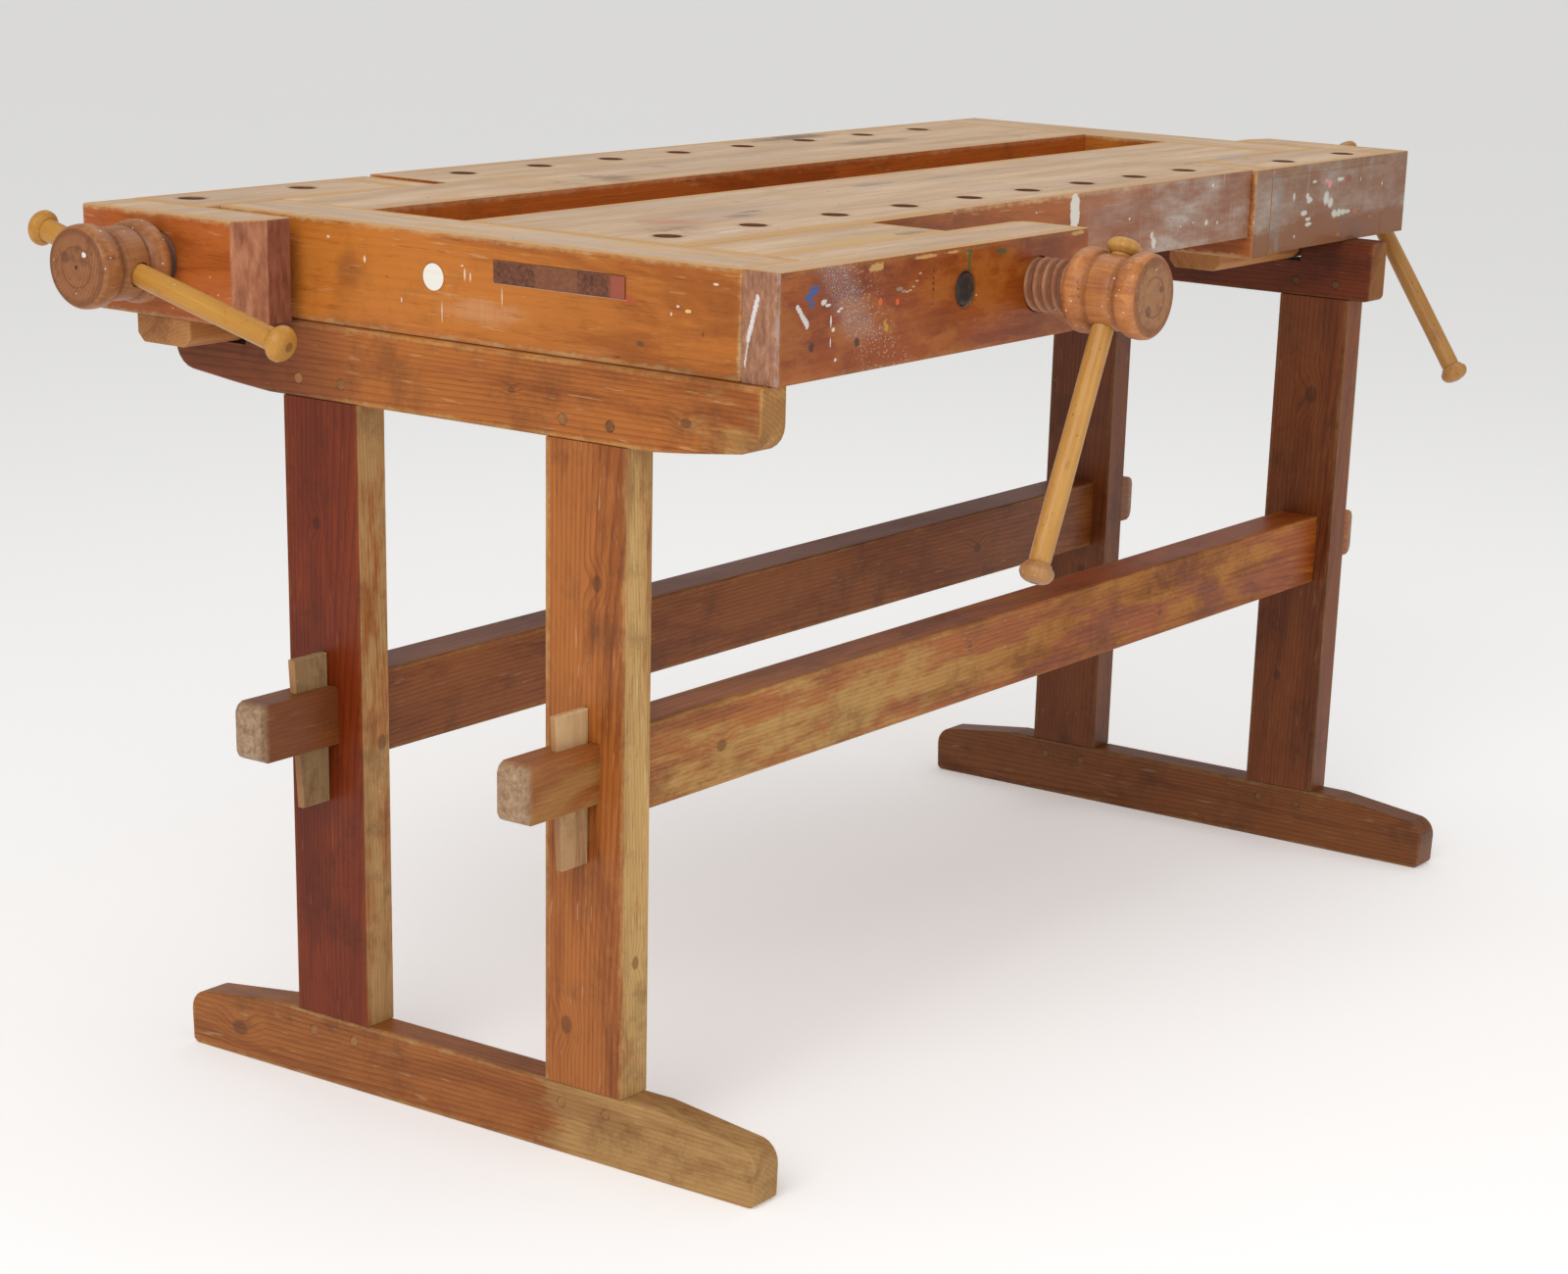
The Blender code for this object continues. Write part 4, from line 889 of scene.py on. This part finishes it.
def smooth_faces(obj, degrees=34):
    obj.data.polygons.foreach_set("use_smooth", [True] * len(obj.data.polygons))
    obj.data.set_sharp_from_angle(angle=math.radians(degrees))


def carve(obj, origin, axis, radius, reach):
    """Bores a round hole through obj."""
    rows = [(-reach, 0.0), (-reach, radius), (reach, radius), (reach, 0.0)]
    cutter = lathe("cutter", placed(origin, axis), rows, 64)
    bpy.context.view_layer.update()
    change = obj.modifiers.new("bore", "BOOLEAN")
    change.operation = "DIFFERENCE"
    change.solver = "EXACT"
    change.object = cutter
    graph = bpy.context.evaluated_depsgraph_get()
    mesh = bpy.data.meshes.new_from_object(obj.evaluated_get(graph))
    obj.modifiers.clear()
    obj.data = mesh
    bpy.data.objects.remove(cutter)


def thread_shape(start, end):
    """A right-hand helical ridge with rounded crests, running out smoothly at both ends."""
    def shape(z, angle, radius):
        if not start < z < end:
            return radius
        phase = (z / PITCH - angle / (2.0 * math.pi)) % 1.0
        ridge = 1.0 - abs(2.0 * phase - 1.0)
        ridge = min(1.0, max(0.0, (ridge - 0.1) / 0.78))
        ridge = ridge * ridge * (3.0 - 2.0 * ridge) * 0.35 + ridge * 0.65
        depth = (THREAD_R - ROOT_R) * (1.0 - ridge)
        fade = min(1.0, (z - start) / 0.004, (end - z) / 0.0015)
        nick = 0.00022 * (1.0 + math.sin(angle * 5.0 + z * 310.0) * math.sin(angle * 11.0 - z * 170.0))
        return radius - (depth + nick) * max(0.0, fade)
    return shape


def turned_wood(name, hub_at, long, tones, seed, cap_marks=()):
    """Turned beech: oiled barrel with painted shade in its hollows and wear and painted highlights on its
    rims, end-grain cap, dull thread that is darker at its root. z runs along the screw.
    """
    g = Shade(name)
    x, y, z = g.axis
    radius = g.math("SQRT", g.add(g.mul(x, x), g.mul(y, y)))
    light, mid, dark, cap_light, cap_dark, thread = tones
    fibre = g.noise((330.0, 330.0, 10.0), seed, 3.0, 0.6)
    cloud = g.noise((28.0, 28.0, 12.0), seed + 2.0, 4.0, 0.65)
    bands = g.noise((3.0, 3.0, 420.0), seed + 4.0, 2.0, 0.5)
    tone = g.add(g.add(g.mul(fibre, 0.42), g.mul(cloud, 0.5)), g.mul(bands, 0.1))
    color = g.ramp(tone, [(0.34, dark), (0.5, mid), (0.66, light)])
    # painted shade: darker in the neck, behind the flange and round the cap's underside
    at = g.mul(g.sub(z, hub_at), 1.0 / long)
    shade = g.ramp(g.mul(at, 1.0 / 0.081),
        [(0.0, 0.45), (0.05, 0.08), (0.26, 0.08), (0.3, 0.6), (0.36, 0.08), (0.6, 0.08), (0.66, 0.75),
            (0.73, 0.2), (0.9, 0.0), (1.0, 0.25)])
    color = g.lay(color, shade, g.add(0.45, g.mul(cloud, 0.4)), tuple(c * 0.42 for c in dark))
    # rubbed wear and painted highlights: lighter on the flange's crest and the cap's rim
    rubbed_and_highlit = g.ramp(g.mul(at, 1.0 / 0.081),
        [(0.0, 0.0), (0.1, 0.0), (0.17, 0.7), (0.22, 0.0), (0.74, 0.0), (0.86, 0.75), (0.96, 0.25)])
    color = g.lay(color, rubbed_and_highlit, g.step(g.noise((60.0, 60.0, 40.0), seed + 5.0, 4.0, 0.7), 0.44, 0.62),
        tuple(min(1.0, c * 1.25) for c in light))
    # the cap's face: growth rings cut across, checks and stains
    face = g.mul(g.step(g.facing[2], 0.7, 0.92), g.step(at, 0.07, 0.077))
    rings_at = g.math("SQRT", g.add(g.math("POWER", g.add(x, 0.055), 2.0),
            g.math("POWER", g.sub(y, 0.02), 2.0)))
    ring = g.math("FRACT", g.mul(g.add(rings_at, g.mul(g.noise(30.0, seed + 8.0), 0.004)), 1.0 / 0.0034))
    cap = g.ramp(g.add(g.mul(ring, 0.4), g.mul(g.noise((120.0, 120.0, 1.0), seed + 9.0, 4.0, 0.7), 0.6)),
        [(0.25, cap_dark), (0.5, tuple((a + b) / 2.0 for a, b in zip(cap_dark, cap_light))),
            (0.75, cap_light)])
    stain = g.step(g.noise((70.0, 70.0, 1.0), seed + 12.0, 4.0, 0.7), 0.52, 0.66)
    cap = g.lay(cap, stain, 0.45, tuple(c * 0.45 for c in cap_dark))
    rim = g.step(radius, 0.0275, 0.0315)
    cap = g.lay(cap, rim, 0.55, tuple(c * 0.8 for c in dark))
    turning = g.step(g.gap(radius, 0.0182), 0.0011, 0.0002)
    cap = g.lay(cap, turning, 0.55, tuple(c * 0.5 for c in cap_dark))
    for px, py, w, paint, share in cap_marks:
        cap = g.lay(cap, g.blob((px, py, 0.0), (w, w, None), px * 300.0 + seed, 0.5, 350.0), share, paint)
    color = g.blend(face, color, cap)
    # thread
    on_thread = g.step(z, hub_at + 0.0002, hub_at - 0.001)
    worn = g.noise((40.0, 40.0, 90.0), seed + 15.0, 4.0, 0.7)
    crest = g.blend(g.step(worn, 0.35, 0.65), thread[0], thread[1])
    deep = g.step(radius, 0.0247, 0.0222)
    crest = g.lay(crest, deep, 0.65, tuple(c * 0.48 for c in thread[1]))
    color = g.blend(on_thread, color, crest)
    # painted shade inside the bar's hole
    bore = g.mul(g.step(g.gap(at, 0.036), 0.0122, 0.0118), g.step(radius, 0.0325, 0.0315))
    color = g.blend(bore, color, tuple(c * 0.3 for c in dark))
    for scale, keep, size, paint, share in ((190.0, 0.13, 0.16, (0.7, 0.66, 0.6), 0.85),
            (110.0, 0.1, 0.13, (0.74, 0.7, 0.64), 0.8), (140.0, 0.22, 0.15, (0.06, 0.025, 0.015), 0.7)):
        color = g.lay(color, g.spots(scale, seed + keep * 10.0, size, keep), share, paint)
    rough = g.add(0.26, g.mul(cloud, 0.24))
    rough = g.add(rough, g.mul(g.most(on_thread, g.mul(face, 0.8)), 0.28))
    height = g.add(g.mul(fibre, 0.35), g.add(g.mul(bands, 0.5), g.mul(worn, 0.25)))
    return g.finish(color, rough, height, 0.0005, 0.35)


def handle_wood(name, seed, light, dark):
    g = Shade(name)
    x, y, z = g.axis
    fibre = g.noise((380.0, 380.0, 9.0), seed, 3.0, 0.6)
    cloud = g.noise((34.0, 34.0, 9.0), seed + 1.0, 4.0, 0.65)
    tone = g.add(g.mul(fibre, 0.45), g.mul(cloud, 0.55))
    color = g.ramp(tone, [(0.32, dark), (0.6, light), (0.78, tuple(min(1.0, c * 1.22) for c in light))])
    flecks = g.step(g.noise((700.0, 700.0, 110.0), seed + 2.0, 2.0, 0.5), 0.64, 0.72)
    color = g.lay(color, flecks, 0.35, tuple(c * 0.55 for c in dark))
    grime = g.step(g.noise((26.0, 26.0, 14.0), seed + 3.0, 5.0, 0.72), 0.56, 0.72)
    color = g.lay(color, grime, 0.55, (0.2, 0.085, 0.035))
    for scale, keep, size, paint, share in ((170.0, 0.1, 0.15, (0.68, 0.6, 0.5), 0.8),
            (120.0, 0.22, 0.14, (0.1, 0.04, 0.02), 0.75)):
        color = g.lay(color, g.spots(scale, seed + keep * 10.0, size, keep), share, paint)
    radius = g.math("SQRT", g.add(g.mul(x, x), g.mul(y, y)))
    across = g.step(g.math("ABSOLUTE", g.facing[2]), 0.75, 0.95)
    grain_end = g.blend(g.step(radius, 0.004, 0.005), tuple(c * 0.42 for c in dark),
        tuple(c * 0.82 for c in light))
    color = g.lay(color, across, 0.75, grain_end)
    rough = g.add(0.24, g.mul(cloud, 0.26))
    return g.finish(color, rough, g.add(g.mul(fibre, 0.5), g.mul(g.noise(60.0, seed + 6.0), 0.4)), 0.0006,
        0.35)


def make_screw(name, body, origin, outward, hub_at, tip, pin, size, bar, material):
    long, wide = size
    rows = [(tip, 0.0)]
    start = tip
    if pin:
        rows += [(tip, 0.0135), (tip + 0.0015, 0.015), (tip + pin, 0.015), (tip + pin + 0.0001, THREAD_R)]
        start = tip + pin
    else:
        rows += [(tip, THREAD_R - 0.003), (tip + 0.003, THREAD_R)]
        start = tip + 0.003
    stations = int((hub_at - start) / 0.0007)
    rows += [(start + (hub_at - start) * k / stations, THREAD_R) for k in range(1, stations)]
    hub = [(hub_at + s * long, max(r * wide, THREAD_R) if s < 0.001 else r * wide) for s, r in HUB]
    rows += smoothed(hub, 0.0011)

    def shape(z, angle, radius, thread=thread_shape(start, hub_at)):
        if z < hub_at:
            return thread(z, angle, radius)
        dent = math.sin(angle * 3.0 + z * 90.0) + math.sin(angle * 7.0 - z * 230.0 + 1.0) * 0.6
        return radius - 0.00012 * (1.6 + dent)

    obj = lathe(name, placed(origin, outward), rows, 96, shape)
    centre = Vector(origin) + Vector(outward) * (hub_at + 0.036 * long)
    carve(obj, centre, bar, BAR_HOLE_R, 0.06)
    smooth_faces(obj)
    obj.data.materials.clear()
    obj.data.materials.append(material)
    rounded = obj.modifiers.new("soft_edges", "BEVEL")
    rounded.width = 0.0006
    rounded.segments = 2
    rounded.limit_method = "ANGLE"
    rounded.angle_limit = math.radians(55)
    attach(obj, body)
    return obj, centre


def make_handle(prefix, body, centre, bar, short, long, bar_finish, knob_finish, seed):
    """The sliding bar with its fixed knob, and the loose knob on the other end."""
    k = KNOB_R

    def bar_shape(z, angle, radius):
        if radius > BAR_R:
            return radius - 0.00015 * (1.0 + math.sin(angle * 2.0 + seed))
        wave = math.sin(z * 46.0 + seed) + math.sin(angle * 2.0 + z * 19.0 + seed)
        return min(radius, BAR_R - 0.0001) - 0.0001 * (2.0 + wave)

    rows = [(-long + 0.0045, 0.0), (-long + 0.0045, BAR_R - 0.002), (-long + 0.006, BAR_R - 0.0012)]
    count = int((short + long) / 0.004)
    rows += [(-long + 0.006 + (short + long - 0.011) * i / count, BAR_R - 0.0002)
        for i in range(1, count + 1)]
    knob = [(short - 0.0048, BAR_R - 0.0001), (short - 0.0046, BAR_R + 0.0012), (short - 0.0032, k - 0.003),
        (short - 0.0005, k - 0.0002), (short + 0.0035, k), (short + 0.0078, k - 0.0028),
        (short + 0.01, k - 0.008), (short + 0.0108, 0.0045), (short + 0.0104, 0.004), (short + 0.0106, 0.0)]
    rows += smoothed(knob, 0.0012)
    stick = lathe(prefix + "_bar", placed(centre, bar), rows, 48, bar_shape)
    smooth_faces(stick, 40)
    stick.data.materials.append(bar_finish)
    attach(stick, body)
    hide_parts(prefix)
    loose = [(-0.0122, 0.0), (-0.012, 0.004), (-0.0116, 0.0046), (-0.0112, k - 0.008),
        (-0.0085, k - 0.0028), (-0.0035, k), (0.001, k - 0.0002), (0.0045, k - 0.003),
        (0.007, BAR_R + 0.001), (0.0074, BAR_R - 0.0001)]
    rows = smoothed(loose, 0.0012) + [(0.0073, BAR_R - 0.0009), (0.004, BAR_R - 0.0009), (0.004, 0.0)]
    at = Vector(centre) - Vector(bar).normalized() * long
    end = lathe(prefix + "_end", placed(at, bar), rows, 48, lambda z, angle,
        radius: radius - 0.00012 * (1.0 + math.sin(angle * 2.0 + seed * 2.0)) if radius > BAR_R else radius)
    smooth_faces(end, 40)
    end.data.materials.append(knob_finish)
    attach(end, body)
    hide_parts(prefix + "_knob")


def vises():
    front = turned_wood("front_screw_wood", 0.044, 1.0,
        ((0.56, 0.235, 0.08), (0.44, 0.16, 0.05), (0.27, 0.085, 0.028), (0.44, 0.225, 0.1),
            (0.27, 0.11, 0.048), ((0.42, 0.19, 0.095), (0.3, 0.115, 0.055))), 3.0,
        ((0.012, 0.006, 0.004, (0.09, 0.035, 0.02), 0.6),
            (-0.01, -0.012, 0.006, (0.12, 0.045, 0.025), 0.6)))
    left = turned_wood("left_screw_wood", 0.01, 1.08,
        ((0.42, 0.18, 0.062), (0.31, 0.115, 0.038), (0.18, 0.06, 0.022), (0.33, 0.135, 0.052),
            (0.22, 0.075, 0.028), ((0.3, 0.15, 0.1), (0.22, 0.1, 0.06))), 7.0,
        ((0.0, 0.0, 0.0022, (0.05, 0.02, 0.012), 0.9), (0.0105, 0.012, 0.003, (0.74, 0.7, 0.64), 0.95),
            (-0.014, 0.008, 0.006, (0.12, 0.045, 0.022), 0.6)))
    right = turned_wood("right_screw_wood", 0.0165, 1.0,
        ((0.34, 0.13, 0.048), (0.25, 0.085, 0.03), (0.15, 0.048, 0.018), (0.3, 0.12, 0.05),
            (0.2, 0.07, 0.028), ((0.28, 0.14, 0.09), (0.2, 0.09, 0.055))), 11.0)
    gold = handle_wood("front_bar_wood", 21.0, (0.57, 0.3, 0.076), (0.41, 0.18, 0.04))
    gold_left = handle_wood("left_bar_wood", 23.0, (0.52, 0.255, 0.046), (0.42, 0.17, 0.028))
    gold_right = handle_wood("right_bar_wood", 27.0, (0.48, 0.24, 0.066), (0.34, 0.145, 0.038))
    knob = handle_wood("front_knob_wood", 25.0, (0.47, 0.24, 0.09), (0.33, 0.14, 0.05))
    jobs = (
        ("front", "front_screw", (-0.3125, -0.312, 0.7956), (0.0, -1.0, 0.0), 0.044, -0.0905, 0.0123,
            (1.0, 1.0), (0.411, 0.0, 0.9116), 0.0404, 0.265, front, gold, knob),
        ("left", "left_tail_screw", (-0.8055, 0.333, 0.798), (-1.0, 0.0, 0.0), 0.01, -0.3055, 0.0,
            (1.08, 0.955), (0.0, 0.9701, 0.2425), 0.093, 0.206, left, gold_left, gold_left),
        ("right", "right_tail_screw", (0.8055, -0.056, 0.796), (1.0, 0.0, 0.0), 0.0165, -0.3055, 0.0,
            (1.0, 0.91), (0.0, 0.564, 0.8258), 0.0374, 0.2672, right, gold_right, gold_right),
    )
    for k, (body, node, origin, outward, hub_at, tip, pin, size, bar, short, long, wood, rod,
            end) in enumerate(jobs):
        screw, centre = make_screw(node + "_turned", body + "_spindle", origin, outward, hub_at, tip, pin,
            size, bar, wood)
        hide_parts(node)
        prefix = "front_handle" if body == "front" else body + "_tail_handle"
        make_handle(prefix, body + "_bar", centre, bar, short, long, rod, end, 1.0 + k * 2.0)


def steel_bolt():
    g = Shade("dark_steel_worn")
    cloud = g.noise(160.0, 5.0, 4.0, 0.7)
    color = g.ramp(cloud, [(0.3, (0.03, 0.022, 0.018)), (0.55, (0.055, 0.045, 0.038)),
            (0.75, (0.15, 0.085, 0.05))])
    g.put(g.shader.inputs["Metallic"], 0.75)
    made = g.finish(color, g.add(0.38, g.mul(cloud, 0.3)), cloud, 0.0004, 0.4)
    dress("arm_bolt", made, 0.0)


# ---------------------------------------------------------------- floor, light and camera

def floor():
    g = Shade("pale_floor")
    cloud = g.noise(0.9, 2.0, 4.0, 0.6)
    fine = g.noise(90.0, 3.0, 3.0, 0.6)
    color = g.blend(g.add(g.mul(cloud, 0.6), g.mul(fine, 0.2)), (0.9, 0.9, 0.895), (0.86, 0.86, 0.855))
    g.put(g.shader.inputs["Emission Color"], (1.0, 1.0, 1.0))
    g.shader.inputs["Emission Strength"].default_value = 0.25
    made = g.finish(color, g.add(0.72, g.mul(fine, 0.12)), fine, 0.0004, 0.15)
    rows = [(0.0, 0.0)] + [(0.0, r) for r in (2.0, 5.0, 12.0, 30.0)]
    disc = lathe("studio_floor", Matrix.Identity(4), rows[::-1], 96)
    disc.data.materials.append(made)


def lights():
    world = bpy.data.worlds.new("studio")
    world.use_nodes = True
    SCENE.world = world
    tree = world.node_tree
    tree.nodes.clear()
    out = tree.nodes.new("ShaderNodeOutputWorld")
    ray = tree.nodes.new("ShaderNodeLightPath")
    soft, seen, mix = (tree.nodes.new(k)
        for k in ("ShaderNodeBackground", "ShaderNodeBackground", "ShaderNodeMixShader"))
    soft.inputs["Color"].default_value = (1.0, 0.99, 0.975, 1.0)
    soft.inputs["Strength"].default_value = 0.5
    seen.inputs["Color"].default_value = (1.0, 1.0, 1.0, 1.0)
    seen.inputs["Strength"].default_value = 0.9
    tree.links.new(ray.outputs["Is Camera Ray"], mix.inputs[0])
    tree.links.new(soft.outputs[0], mix.inputs[1])
    tree.links.new(seen.outputs[0], mix.inputs[2])
    tree.links.new(mix.outputs[0], out.inputs["Surface"])
    for name, spot, aim, size, power in (("key", (-3.5, -1.0, 2.8), (0.0, 0.0, 0.5), 3.0, 78.0),
            ("front_fill", (-0.6, -4.2, 2.2), (0.0, 0.0, 0.6), 3.0, 22.0),
            ("top_fill", (1.3, 0.3, 3.2), (0.9, 0.0, 0.8), 2.4, 17.0)):
        lamp = bpy.data.lights.new(name, "AREA")
        lamp.shape = "DISK"
        lamp.size = size
        lamp.energy = power
        obj = bpy.data.objects.new(name, lamp)
        SCENE.collection.objects.link(obj)
        obj.location = spot
        obj.rotation_mode = "QUATERNION"
        obj.rotation_quaternion = (Vector(aim) - Vector(spot)).to_track_quat("-Z", "Y")


def camera():
    yaw, pitch, roll = 0.98094, -0.33807, 0.03358
    ahead = Vector((math.sin(yaw) * math.cos(pitch), math.cos(yaw) * math.cos(pitch), math.sin(pitch)))
    level = Vector((math.cos(yaw), -math.sin(yaw), 0.0))
    above = level.cross(ahead)
    right = level * math.cos(roll) + above * math.sin(roll)
    up = above * math.cos(roll) - level * math.sin(roll)
    turn = Matrix((right, up, -ahead)).transposed().to_4x4()
    data = bpy.data.cameras.new("camera")
    data.sensor_fit = "HORIZONTAL"
    data.sensor_width = 36.0
    data.lens = 77.3937
    data.shift_x = -0.053363
    data.shift_y = 0.23481
    data.clip_end = 100.0
    obj = bpy.data.objects.new("camera", data)
    SCENE.collection.objects.link(obj)
    obj.matrix_world = Matrix.Translation((-3.03061, -1.96794, 1.19758)) @ turn
    SCENE.camera = obj


pine_boards()
small_pine()
bench_top()
vises()
steel_bolt()
floor()
lights()
camera()
SCENE.view_settings.view_transform = "Standard"
bpy.context.view_layer.update()
